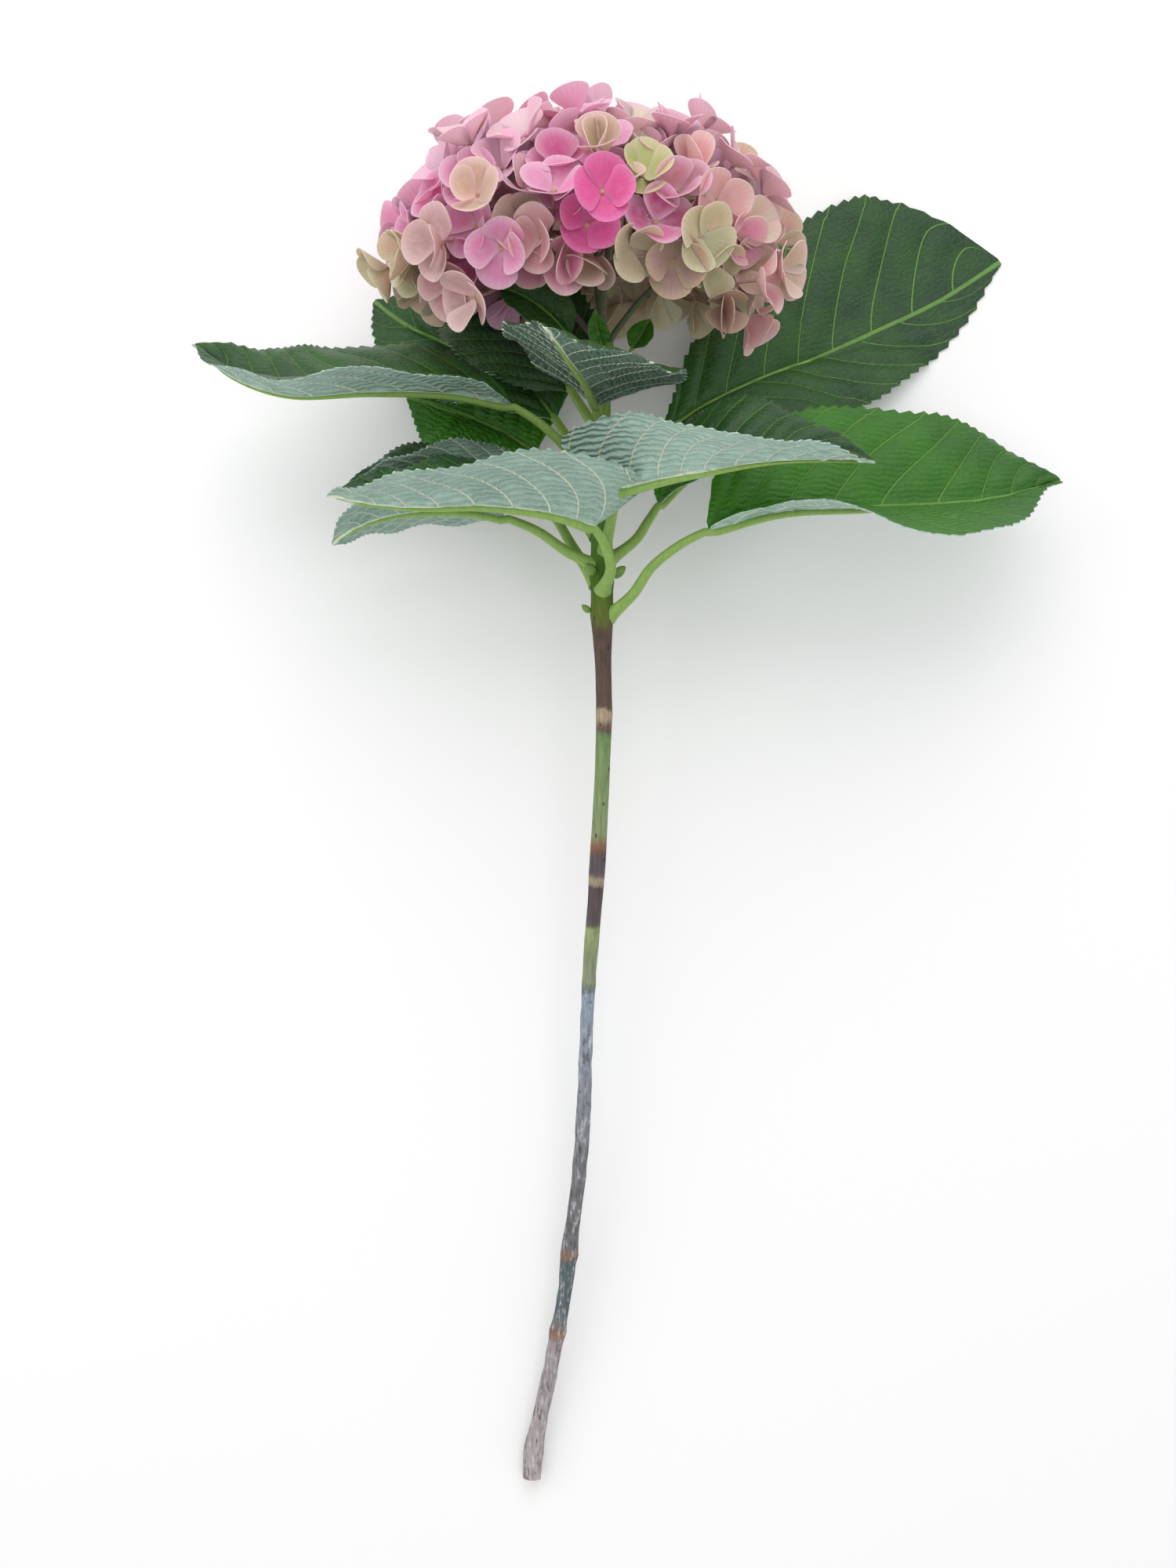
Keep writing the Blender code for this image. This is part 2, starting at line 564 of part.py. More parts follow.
def settle_florets(placed):
    """Place all florets, layer by layer; returns each cluster's hub, florets and pedicel trees."""
    clusters = []
    for theta, phi in cluster_centres():
        middle, normal = dome_point(theta, phi, 0)
        clusters.append(dict(middle=middle, normal=normal, hub=middle - normal * CLUSTER_DEPTH,
                             florets=[], pedicels=[]))
    for layer in range(3):
        for index, cluster in enumerate(clusters):
            others = [tree for other in clusters if other is not cluster for tree in other["pedicels"]]
            side, across = side_axes(cluster["normal"])
            for corner in range(4):
                number = index * 4 + corner
                if (number + index) % 3 != layer:
                    continue
                turn = corner * math.pi / 2 + index * 1.3
                shift = (side * math.cos(turn) + across * math.sin(turn)) * CLUSTER_SPREAD
                centre, normal = onto_dome(cluster["middle"] + shift, LAYER_STEP * layer)
                facing = lean(normal, FLORET_TILT * abs(math.sin(number * 2.4)), number * 1.7)
                settled = settle_floret(centre, facing, number * 0.77, cluster["hub"],
                                        placed + others, cluster["pedicels"])
                if settled and settled[0][1].y > BACKWARD_LIMIT and not off_the_head(settled[0][0]):
                    floret, plate, pedicel = settled
                    placed.append(plate)
                    cluster["florets"].append(floret)
                    cluster["pedicels"].append(pedicel)
    return clusters


def find_stalk(cluster, seats, obstacles):
    """Start of a clear stalk from one of the branches to the cluster's hub."""
    hub = cluster["hub"]
    for seat, along, radius, room in sorted(seats, key=lambda place_on: (place_on[0] - hub).length):
        away = (hub - seat).normalized()
        parallel = away.dot(along)
        across = math.sqrt(1 - parallel ** 2)
        reach = (radius + GAP + STALK_RADIUS[0] * abs(parallel)) / max(across, 0.1)
        if across < 0.5 or reach * parallel > room:
            continue
        base = seat + away * reach
        tree = rod_tree(base + away * STALK_RADIUS[1], hub, STALK_RADIUS[1])
        if clear_of(tree, obstacles):
            return base, tree
    return None, None


def build_cluster(name, base, cluster, material):
    """Florets on pedicels that meet on one stalk, which ends by a flower branch."""
    hub = cluster["hub"]
    stalk = cone_between(name, place(base), place(hub), *STALK_RADIUS, 5)
    others = []
    for centre, normal, spin, radius in cluster["florets"]:
        others.append(cone_between("pedicel", place(hub), place(centre), PEDICEL_RADIUS, PEDICEL_RADIUS, 3))
        others.append(build_plate(centre, normal, spin, radius))
    return unite(name, stalk, others, material)


def build_plate(centre, normal, spin, radius):
    """A floret's four sepals as one cupped plate."""
    work = bmesh.new()
    bmesh.ops.create_circle(work, cap_ends=True, cap_tris=True, segments=12, radius=1)
    rim = floret_rim(centre, normal, spin, radius)
    for vertex in work.verts:
        step = round(math.atan2(vertex.co.y, vertex.co.x) / (math.pi / 6)) % 12
        vertex.co = place(rim[step] if vertex.co.length > 0.1 else centre)
    mesh = bpy.data.meshes.new("plate")
    work.to_mesh(mesh)
    work.free()
    plate = new_object("plate", mesh)
    thicken = plate.modifiers.new("thickness", "SOLIDIFY")
    thicken.thickness = FLORET_THICKNESS * 0.001
    thicken.offset = 0
    return bake(plate)


def build_head(branches, placed, material):
    """All clusters that have florets, each with a stalk that is clear of everything else."""
    hanging = dict(hub=Vector(HANGING_HUB), florets=[], pedicels=[])
    centre, facing = (Vector(v) for v in HANGING_FLORET)
    floret, plate, pedicel = settle_floret(centre, facing.normalized(), 0.5, hanging["hub"], placed, [])
    placed.append(plate)
    hanging["florets"].append(floret)
    hanging["pedicels"].append(pedicel)
    clusters = [c for c in settle_florets(placed + [pedicel]) if c["florets"]] + [hanging]
    for cluster in clusters:
        placed.extend(floret_tree(*floret)[0] for floret in cluster["florets"])
    for index, cluster in enumerate(clusters):
        others = [tree for other in clusters if other is not cluster for tree in other["pedicels"]]
        base, tree = find_stalk(cluster, branches, placed + others)
        if base is None:
            raise RuntimeError("no clear way from a branch to cluster %d" % (index + 1))
        placed.append(tree)
        build_cluster("floret_cluster_%02d" % (index + 1), base, cluster, material)


# ------------------------------------------------------------------ the whole plant
def main():
    clear_scene()
    bpy.context.scene.collection.children.link(bpy.data.collections.new(COLLECTION))
    bark = make_material("stem bark", (0.19, 0.24, 0.09), 0.7)
    leaf_green = make_material("leaf green", (0.05, 0.14, 0.045), 0.45)
    branch_green = make_material("flower branch", (0.20, 0.17, 0.12), 0.6)
    sepal_pink = make_material("sepal pink", (0.72, 0.36, 0.45), 0.6)

    placed = [surface_tree(build_stem(bark))]
    for name, leaf in LEAVES.items():
        placed.append(surface_tree(build_leaf(name, leaf, leaf_green)))
    for name, (s, angle, length, radius) in BUDS.items():
        placed.append(surface_tree(build_bud(name, s, angle, length, radius, leaf_green)))
    seats = []
    for name, route in BRANCHES.items():
        placed.append(surface_tree(build_branch(name, route, branch_green)))
        seats += branch_seats(route)
    build_head(seats, placed, sepal_pink)


if __name__ == "__main__":
    main()
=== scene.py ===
"""Cut hydrangea: bark, veined leaves and sepals for one leafy stem with its mophead flower.

Laid out as an add-on and run as a script. The plant has its own frame in millimetres: x to
the right, s along the stem from the cut end to the flower, h up from the stem, away from the
surface it lies on. Pieces are modelled in that frame and laid down by TO_WORLD.
"""
import math
import random
from functools import partial

import bmesh
import bpy
import numpy as np
from bpy.props import FloatProperty, FloatVectorProperty, IntProperty, PointerProperty
from mathutils import Matrix, Vector, noise


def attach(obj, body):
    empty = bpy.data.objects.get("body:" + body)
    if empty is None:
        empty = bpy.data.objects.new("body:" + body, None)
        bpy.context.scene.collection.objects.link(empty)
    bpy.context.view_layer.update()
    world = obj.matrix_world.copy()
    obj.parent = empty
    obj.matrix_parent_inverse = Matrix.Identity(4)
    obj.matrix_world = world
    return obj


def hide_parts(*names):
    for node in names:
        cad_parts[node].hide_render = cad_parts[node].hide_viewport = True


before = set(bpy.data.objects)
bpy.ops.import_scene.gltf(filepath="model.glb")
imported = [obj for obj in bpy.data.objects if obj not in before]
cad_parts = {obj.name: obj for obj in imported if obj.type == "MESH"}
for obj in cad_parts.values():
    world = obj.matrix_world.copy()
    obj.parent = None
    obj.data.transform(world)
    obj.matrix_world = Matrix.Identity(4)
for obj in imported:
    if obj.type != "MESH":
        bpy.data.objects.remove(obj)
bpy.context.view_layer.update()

bl_info = {
    "name": "Cut hydrangea",
    "version": (1, 0, 0),
    "blender": (4, 5, 0),
    "location": "3D View > Sidebar > Hydrangea",
    "description": "Models a cut hydrangea with a barked stem, veined leaves and a pink flower head",
    "category": "Add Mesh",
}

# ------------------------------------------------------------------ the plant's shape (mm)
SLOPE = math.radians(7.2)      # how far the flower head lifts the stem
LIFT = 3.9                     # height of the stem's axis at the cut end
ORIGIN = (13.6, 296.5)         # plant x and distance along the surface of the world's origin
TO_WORLD = (Matrix.Scale(0.001, 4) @ Matrix.Translation((-ORIGIN[0], -ORIGIN[1], LIFT))
            @ Matrix.Rotation(SLOPE, 4, "X"))
TO_PLANT = TO_WORLD.inverted()

# The stem's axis and radius, from the cut end to the top, swollen at the nodes.
STEM = [(-30.2, 0, 3.9), (-29.4, 13, 4.1), (-27.1, 23, 3.3), (-24.9, 33, 3.1), (-21.0, 53, 3.1),
        (-19.2, 62, 3.4), (-17.6, 70, 2.8), (-15.6, 82, 2.9), (-14.4, 95, 3.6), (-13.0, 106, 3.0),
        (-10.2, 127, 3.0), (-8.2, 150, 3.0), (-7.2, 180, 2.8), (-5.6, 214, 2.8), (-4.5, 230, 3.2),
        (-3.1, 246, 3.1), (-2.0, 262, 3.5), (0, 298, 3.2), (1, 329, 3.4), (0.5, 350, 3.5), (0, 369, 4.7),
        (0, 384, 4.8), (0, 397, 4.5), (-0.5, 410, 4.3), (-1, 432, 4.4), (-0.5, 448, 4.2), (0, 470, 3.7),
        (0, 487, 5.0)]

PETIOLE_RADIUS = (2.6, 1.8)    # leaf stalk, at the stem and at the blade
YOUNG_STALK_SCALE = 0.45       # a young leaf's stalk next to a grown one's
STALK_FLARE = (1.5, 1.6)       # how much a leaf stalk swells at the stem, and the steps it takes
STALK_STEPS = 22               # steps along a leaf's stalk, and along the midrib that follows
RIB_STEPS = 44
LOBE_LENGTH = 0.35             # part of a blade's length that its basal lobes take
LOBE_SHAPE = 2.4
# A blade's relief in mm: the fold along its midrib and the fold's half width, the bow of each
# half, the margin's waves and their number, and the ruffle and its waves to the mm.
FOLD = (1.0, 2.2)
BOW = 5.2
WAVES = (1.5, 3.1)
RUFFLE = (0.5, 0.12)
VEIN_LEAN = (0.27, 1.25)       # how far side veins bend forward, as a part of the blade, and how
FULL_SIZE = 30                 # a blade with a smaller half width has less relief
LEAF_SEED = 1.7                # shifts the waves from leaf to leaf
MIDRIB_GROOVE = 0.24           # depth of the leaf stalk's groove, as a part of its radius
# Half width of a blade along its midrib, as (part of the length, part of the half width).
BLADE_PROFILE = [(0, 0.07), (0.06, 0.44), (0.15, 0.76), (0.3, 0.97), (0.44, 1.0), (0.6, 0.92),
                 (0.76, 0.67), (0.88, 0.37), (0.95, 0.16), (1, 0.03)]
# Other blades: blunt at the base, broadest towards the tip, full to the tip, drawn out to the tip.
BLUNT = [(0, 0.1), (0.03, 0.75), (0.08, 0.92), (0.2, 1.0), (0.35, 1.0), (0.5, 0.95), (0.66, 0.8),
         (0.8, 0.55), (0.9, 0.3), (0.96, 0.14), (1, 0.03)]
BROAD = [(0, 0.05), (0.1, 0.2), (0.19, 0.4), (0.31, 0.67), (0.42, 0.81), (0.53, 0.92), (0.66, 1.0),
         (0.8, 0.96), (0.9, 0.76), (0.96, 0.44), (1, 0.03)]
FULL = [(0, 0.07), (0.06, 0.4), (0.15, 0.7), (0.3, 0.93), (0.44, 1.0), (0.6, 0.98), (0.76, 0.84),
        (0.88, 0.52), (0.95, 0.24), (1, 0.03)]
DRAWN = [(0, 0.07), (0.06, 0.44), (0.15, 0.76), (0.3, 0.97), (0.44, 1.0), (0.58, 0.88), (0.68, 0.64),
         (0.76, 0.42), (0.84, 0.22), (0.92, 0.09), (1, 0.02)]

# One entry for each leaf.
# node: place on the stem (s) and angle round it in degrees (0 right, 90 up, 180 left).
# stalk: points of the leaf stalk after its seat.  midrib: points from the blade's base to its tip.
# width: half width of the left and right half.  up: way that the upper side faces, base and tip.
# left, right: how far each half is raised towards the upper side, at the base, middle and tip.
# outlines: the left and the right half's shape, if it isn't BLADE_PROFILE.
# lobe: how far the base of the left and the right half reaches back past the midrib's start.
LEAVES = {
    "leaf_long_left": dict(
        node=(430, 180), stalk=[(-14, 441, 2), (-26, 452, 4)], width=(38, 38),
        midrib=[(-39, 460, 6), (-66, 465, 6), (-99, 466, 4), (-133, 465, 2), (-158, 473, 0),
                (-176, 488, -3)],
        up=[(0.2, 1, 0), (0.2, 1, 0)], left=(3, 0, -4), right=(42, 46, 46),
        outlines=(BLADE_PROFILE, FULL)),
    "leaf_front_left": dict(
        node=(381, 85), stalk=[(3.6, 389, 14), (0.6, 399, 21)], width=(32, 38),
        midrib=[(-4, 405, 27), (-21, 409, 37), (-48, 411, 45), (-73, 410, 48), (-95, 412, 46),
                (-112, 416, 42)],
        up=[(0, 1, -0.1), (0, 1, 0)], left=(50, 20, 12), right=(40, 46, 50),
        outlines=(BLUNT, BLUNT), lobe=(11, 0)),
    "leaf_low_left": dict(
        node=(392, 178), stalk=[(-15, 398, 0), (-28, 407, -1)], width=(22, 20),
        midrib=[(-42, 413, -2), (-57, 416, -4), (-75, 416, -5), (-92, 414, -6), (-106, 409, -6),
                (-117, 402, -6)],
        up=[(0, 0.92, -0.4), (0.2, 0.9, -0.4)], left=(4, 4, 4), right=(14, 14, 12)),
    "leaf_middle_left": dict(
        node=(384, 215), stalk=[(-13, 402, -10), (-21, 415, -11)], width=(28, 28),
        midrib=[(-30, 422, -10), (-50, 427, -8), (-70, 429, -5), (-90, 429, -3), (-109, 428, -2)],
        up=[(0, 1, 0), (0, 1, 0.1)], left=(44, 30, 14), right=(40, 45, 50)),
    "leaf_floor_left": dict(
        node=(405, 222), stalk=[(-14, 420, -15), (-22, 436, -27)], width=(32, 32),
        midrib=[(-30, 448, -40), (-44, 459, -54), (-59, 467, -62), (-74, 472, -66), (-90, 477, -68)],
        up=[(-0.2, 0.6, 0.8), (0, 0.1, 1)], left=(8, 6, 4), right=(8, 6, 4)),
    "leaf_back_left": dict(
        node=(420, 240), stalk=[(-8, 433, -14), (-14, 449, -24)], width=(30, 30),
        midrib=[(-21, 462, -32), (-36, 482, -46), (-53, 493, -55), (-72, 502, -62), (-94, 514, -70),
                (-106, 523, -74)],
        up=[(-0.1, 0.5, 0.9), (0, 0.1, 1)], left=(12, 9, 6), right=(12, 9, 6)),
    "leaf_under_head": dict(
        node=(448, 262), stalk=[(-4, 455, -12), (-9, 464, -18)], width=(32, 32),
        midrib=[(-14, 473, -24), (-25, 489, -35), (-36, 504, -45), (-51, 519, -54), (-66, 532, -61),
                (-80, 545, -66)],
        up=[(-0.1, 0.5, 0.9), (0, 0.1, 1)], left=(12, 8, 4), right=(12, 8, 4)),
    "leaf_back_right": dict(
        node=(432, 338), stalk=[(14, 441, -9), (22, 449, -16)], width=(64, 36),
        midrib=[(30, 456, -24), (51, 472, -43), (78, 487, -58), (102, 497, -66), (129, 509, -71),
                (158, 523, -74), (187, 542, -75)],
        up=[(-0.1, 0.3, 0.95), (0, 0, 1)], left=(2, 3, 4), right=(22, 20, 8),
        outlines=(BROAD, BLADE_PROFILE)),
    "leaf_right": dict(
        node=(370, 2), stalk=[(13, 379, 6), (21, 390, 12), (33, 399, 16)], width=(50, 44),
        midrib=[(45, 405, 18), (77, 414, 10), (114, 417, 0), (158, 421, -12), (184, 426, -18),
                (203, 432, -22)],
        up=[(0, 1, 0), (0, 1, 0)], left=(70, 68, 62), right=(14, -26, -30),
        outlines=(BLADE_PROFILE, DRAWN)),
    "leaf_front_right": dict(
        node=(398, 62), stalk=[(3, 406, 12), (5, 414, 22)], width=(38, 32),
        midrib=[(9, 420, 32), (26, 423, 40), (42, 425, 46), (64, 428, 50), (84, 429, 50), (110, 429, 46)],
        up=[(0, 1, -0.1), (0, 1, 0)], left=(35, 64, 62), right=(70, 10, 5),
        outlines=(BLUNT, BLUNT), lobe=(0, 17)),
    "leaf_behind_right": dict(
        node=(394, 355), stalk=[(14, 403, -3), (20, 412, -6)], width=(14, 17),
        midrib=[(25, 420, -9), (36, 431, -15), (50, 441, -20), (66, 449, -25), (80, 454, -29)],
        up=[(-0.2, 0.9, 0.35), (0, 0.8, 0.5)], left=(24, 22, 20), right=(20, 15, 10)),
    "leaf_towards_viewer": dict(
        node=(447, 82), stalk=[(-1, 450, 16)], width=(44, 34),
        midrib=[(-3, 456, 26), (-7, 461, 44), (-12, 464, 62), (-17, 467, 82), (-22, 470, 102)],
        up=[(0.1, 1, -0.2), (0.2, 1, 0)], left=(8, 0, -6), right=(28, 22, 14)),
    "young_leaf_left": dict(
        node=(474, 160), stalk=[(-9, 481, 7)], width=(12, 12),
        midrib=[(-14, 488, 10), (-23, 497, 13), (-34, 504, 15), (-45, 508, 15)],
        up=[(0, 0.5, 0.9), (0, 0.3, 1)], left=(30, 20, 10), right=(30, 25, 20)),
    "young_leaf_front": dict(
        node=(472, 80), stalk=[(0, 478, 10)], width=(5, 5),
        midrib=[(0, 483, 13), (-2, 489, 16), (-3, 497, 18)],
        up=[(0, 0.4, 1), (0, 0.4, 1)], left=(30, 25, 20), right=(30, 25, 20)),
    "young_leaf_right": dict(
        node=(474, 350), stalk=[(9, 480, -3)], width=(6, 6),
        midrib=[(13, 486, -4), (17, 492, -6), (21, 500, -9)],
        up=[(0, 0.4, 1), (0, 0.4, 1)], left=(25, 22, 20), right=(25, 22, 20)),
}

# Side buds: place on the stem, angle round it, length and radius.
BUDS = {"side_bud_left": (388, 130, 6.0, 1.9), "side_bud_right": (387, 20, 6.5, 1.9),
        "side_bud_low": (372, 172, 4.5, 1.3)}

BRANCH_RADIUS = (1.5, 1.1)     # flower branches, at the stem and at the far end
BRANCH_FLARE = (0.9, 2.5)      # as for a leaf's stalk
BRANCH_STEPS = 40
BRANCHES = {
    "flower_branch_left": [(-3.4, 488.1, 0.3), (-7, 494, 1), (-18, 505, 3), (-36, 516, 5), (-56, 526, 6)],
    "flower_branch_right": [(3.4, 488.1, 0), (7, 494, 0), (15, 504, 1), (25, 514, 4), (34, 526, 7)],
    "flower_branch_middle": [(0, 487.35, 0), (0, 495, 0), (-1, 510, 1), (-3, 528, 3), (-4, 546, 4)],
    "flower_branch_front": [(0, 488.1, 3.4), (0.5, 494, 7), (1, 504, 16), (2, 516, 28), (3, 532, 38)],
    "flower_branch_back": [(0, 488.1, -3.4), (-0.5, 494, -7), (-1, 504, -15), (-2, 516, -25),
                           (-3, 532, -34)],
}

# Swollen rings round the stem: place, how far they stand out and their half length.
COLLARS = [(33, 0.5, 3), (62, 0.9, 2.2), (97, 0.8, 2.0), (151, 0.35, 3), (212, 0.3, 1.5), (262, 0.7, 1.3),
           (329, 0.45, 2.2), (371, 0.9, 4), (387, 1.1, 4), (397, 0.6, 3), (431, 0.6, 4), (448, 0.5, 4)]
COLLAR_SHARE = 0.55            # the rest of a collar is already in the stem's radius
OLD_BARK_TOP = 212             # peeling bark below, smooth bark above
# The bark's colours at places along the stem.
BARK_COLOURS = [
    (0, "#b3a9a8"), (59, "#9a8f94"), (62, "#8f6647"), (65, "#7b7877"), (72, "#5e686b"), (93, "#59666a"),
    (96, "#8a6546"), (99, "#6c6a6c"), (140, "#7a7b80"), (160, "#858991"), (207, "#8f9cab"),
    (210, "#5d6468"), (212, "#848c72"), (236, "#8b9a6c"), (238, "#5a4f50"), (253, "#54484a"),
    (256, "#b3a287"), (259, "#56505a"), (267, "#5c4f52"), (269, "#7c5a4c"), (273, "#86674f"),
    (275, "#87956a"), (319, "#6f8a58"), (321, "#5d4a42"), (326, "#a5937a"), (330, "#a5937a"),
    (331, "#604d44"), (362, "#57453f"), (369, "#5f6b2d"), (386, "#44690f"), (400, "#557a2b"),
    (487, "#6d8b45")]

# Each leaf's tone, from dark (0) to bright (1): its upper side at the base and at the tip, and
# its underside. The upper side's tone is partly the leaf's own green and partly painted light
# and shade, a leaf lit through painted bright and a leaf in shadow painted dark; the underside's
# tone is painted light and shade.
LEAF_TONES = {
    "leaf_long_left": (0.3, 0.12, 0.75), "leaf_front_left": (0.2, 0.1, 0.7),
    "leaf_low_left": (0.3, 0.2, 0.5), "leaf_middle_left": (0.05, 0.0, 0.3),
    "leaf_floor_left": (1.0, 0.7, 0.3), "leaf_back_left": (0.3, 0.15, 0.3),
    "leaf_under_head": (0.1, 0.0, 0.3), "leaf_back_right": (0.35, 0.0, 0.4),
    "leaf_right": (1.0, 0.35, 0.85), "leaf_front_right": (0.2, 0.05, 0.95),
    "leaf_behind_right": (0.9, 0.8, 0.7), "leaf_towards_viewer": (0.1, 0.1, 0.0),
    "young_leaf_left": (0.3, 0.2, 0.3), "young_leaf_front": (0.9, 0.8, 0.7),
    "young_leaf_right": (0.9, 0.8, 0.7)}

# Sepal colours round the head: a place on it, the colours found there and the rim's colour.
SEPAL_COLOURS = [
    ((-77, 530, 25), "magenta pink magenta", "pale_pink"),
    ((-61, 536, 40), "magenta pink pink", "pale_pink"),
    ((-50, 521, 48), "magenta pink", "pale_pink"),
    ((-64, 515, 38), "rose mauve", "blush"),
    ((-76, 502, 20), "mauve buff olive", "cream"),
    ((-55, 548, 35), "blush pale_pink blush", "pale_pink"),
    ((-50, 562, 20), "blush pale_pink blush", "pale_pink"),
    ((-38, 545, 54), "blush pale_pink", "pale_pink"),
    ((-40, 525, 55), "cream buff blush", "blush"),
    ((-30, 578, 25), "blush pale_pink buff", "pale_pink"),
    ((-13, 584, 22), "pink magenta pink", "pale_pink"),
    ((-12, 560, 50), "magenta pink pink", "pale_pink"),
    ((-24, 541, 62), "magenta pink", "pale_pink"),
    ((-23, 512, 60), "rose pink", "blush"),
    ((-4, 530, 70), "magenta magenta", "pink"),
    ((3, 582, 20), "cream pale_pink", "pale_pink"),
    ((4, 565, 48), "olive buff blush", "blush"),
    ((6, 540, 66), "olive buff", "blush"),
    ((19, 542, 60), "lime lime cream", "cream"),
    ((3, 512, 64), "olive cream buff", "cream"),
    ((-4, 500, 55), "cream buff", "blush"),
    ((12, 496, 50), "olive buff lime", "cream"),
    ((18, 575, 28), "rose buff blush", "pale_pink"),
    ((40, 572, 22), "pale_pink blush pale_pink", "pale_pink"),
    ((42, 550, 50), "salmon pink salmon", "blush"),
    ((31, 526, 56), "magenta rose", "pale_pink"),
    ((55, 538, 45), "pink salmon", "blush"),
    ((66, 548, 25), "cream blush buff", "pale_pink"),
    ((70, 527, 22), "cream buff blush", "blush"),
    ((46, 513, 50), "olive cream buff", "cream"),
    ((33, 500, 45), "mauve rose", "buff"),
    ((66, 511, 25), "rose buff mauve", "blush"),
    ((50, 498, 24), "mauve mauve", "buff"),
    ((-50, 530, -45), "pink blush pale_pink", "pale_pink"),
    ((0, 560, -50), "pale_pink cream blush", "cream"),
    ((45, 535, -45), "cream rose buff", "cream"),
    ((-10, 510, -45), "buff olive cream", "cream")]

# Colour of each flower branch.
BRANCH_COLOURS = {"flower_branch_left": "#72605f", "flower_branch_right": "#5b724c",
                  "flower_branch_middle": "#6b7d50", "flower_branch_front": "#777661",
                  "flower_branch_back": "#6b7d50"}

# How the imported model's floret plates are recognised: rim points round the centre, the plate's
# reach and cup height, and the length under which a rim point is a notch between two sepals.
PLATE_POINTS = 12
PLATE_REACH = 15.5
PLATE_CUP = 3.6
PLATE_INNER = 9.0
PLATE_NOTCH = 13.7

# The dome that the florets fill: its middle, its half sizes and its opening towards the stem.
HEAD_CENTRE = (-6, 527, 0)
HEAD_RADII = (72, 43, 58)
HEAD_OPENING = 116
BACK_RIM = 514                 # the florets added to the head's back start here along the stem
BACK_START = 6                 # the head's back lies below this height
SHOULDER = (-66, 545)          # none is added further left than this and further along at once
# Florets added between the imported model's: how far outside the dome, the room that each needs
# and how far it is closed in degrees.
FILL_LAYERS = [(1, 14.0, 6), (-5, 12.5, 18), (-12, 13.0, 26)]
FILL_PLACES = 900              # places tried in each layer, evenly spread over the dome
FILL_SWAY = 0.6                # how far a floret turns from straight out

STALK_RADIUS = 1.0             # a floret group's stalk
PEDICEL_RADII = (0.75, 0.7, 0.65, 0.6, 0.6, 0.6, 0.75)  # each floret's own stalk, along it
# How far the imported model's own florets are closed, in degrees past their usual opening.
CLOSED = (0, 0, 6, 16)
HANGING_CLOSED = 34

# A sepal's least and greatest reach, half breadth, curl and bowl, as parts of a floret's radius,
# how far a floret is closed and how far a sepal differs from that, in degrees.
SEPAL_REACH = (0.93, 1.05)
SEPAL_BREADTH = (0.50, 0.60)
SEPAL_CURL = (-0.04, 0.16)
SEPAL_BOWL = (0.10, 0.24)
OPENNESS = (6, 30)
SEPAL_SWAY = (-12, 14)
INNER_RAISED = 15              # two of a floret's sepals stand higher, inside the others
SEPAL_GRID = 6                 # faces along and across a sepal
STEM_SIDES = 40                # sides of the rods that stalks are bent from
LEAF_STALK_SIDES = 14
BRANCH_SIDES = 12
GROUP_STALK_SIDES = 6
PEDICEL_SIDES = 5
BLADE_ROWS = 124               # four rows for each tooth of a leaf's margin
BLADE_COLUMNS = 36
YOUNG_ROWS = 64
YOUNG_COLUMNS = 16

# Each lamp's place (plant's frame), size in m and power in W, and the place that all shine at.
LIGHTS = (("top light", (0, 1300, 700), 1.1, 5.2), ("left light", (-900, 700, 700), 0.8, 2.2),
          ("front light", (200, 100, 1500), 1.2, 3.2))
LIT_PLACE = (0, 470, 0)
SKY_STRENGTH = 0.72
CAMERA_PLACE = (-6, 298, 800)  # looks straight down on the stem
SENSOR_HEIGHT = 36             # mm, as is the focal length
FOCAL_LENGTH = 42.732


def linear(code):
    """Linear colour of an sRGB hex code."""
    channels = [int(code[i:i + 2], 16) / 255 for i in (1, 3, 5)]
    return tuple(c / 12.92 if c <= 0.04045 else ((c + 0.055) / 1.055) ** 2.4 for c in channels)


# ------------------------------------------------------------------ sizes and colours to set
def size_setting(label, use, metres):
    """A length that the user can change."""
    return FloatProperty(name=label, description=use, default=metres, unit="LENGTH")


class HydrangeaSizes(bpy.types.PropertyGroup):
    """Sizes of the plant's detail"""
    floret_radius: size_setting("Floret radius", "From a floret's centre to its sepals' tips", 0.0160)
    sepal_thickness: size_setting("Sepal thickness", "Thickness of a sepal", 0.0003)
    leaf_thickness: size_setting("Leaf thickness", "Thickness of a leaf blade", 0.0005)
    tooth_depth: size_setting("Tooth depth", "How far the teeth of a leaf's margin stand out", 0.0018)
    quilt_depth: size_setting("Quilting", "How far a leaf swells between its side veins", 0.0017)
    bark_depth: size_setting("Bark relief", "Depth of the cracks in the old bark", 0.0005)
    teeth: IntProperty(name="Teeth", description="Teeth along each side of a leaf", default=31)
    vein_pairs: IntProperty(name="Vein pairs", description="Pairs of side veins in a leaf", default=9)


def colour_setting(label, use, code):
    """A colour that the user can change, from its hex code."""
    return FloatVectorProperty(name=label, description=use, default=linear(code), subtype="COLOR",
                               size=3, min=0, max=1)


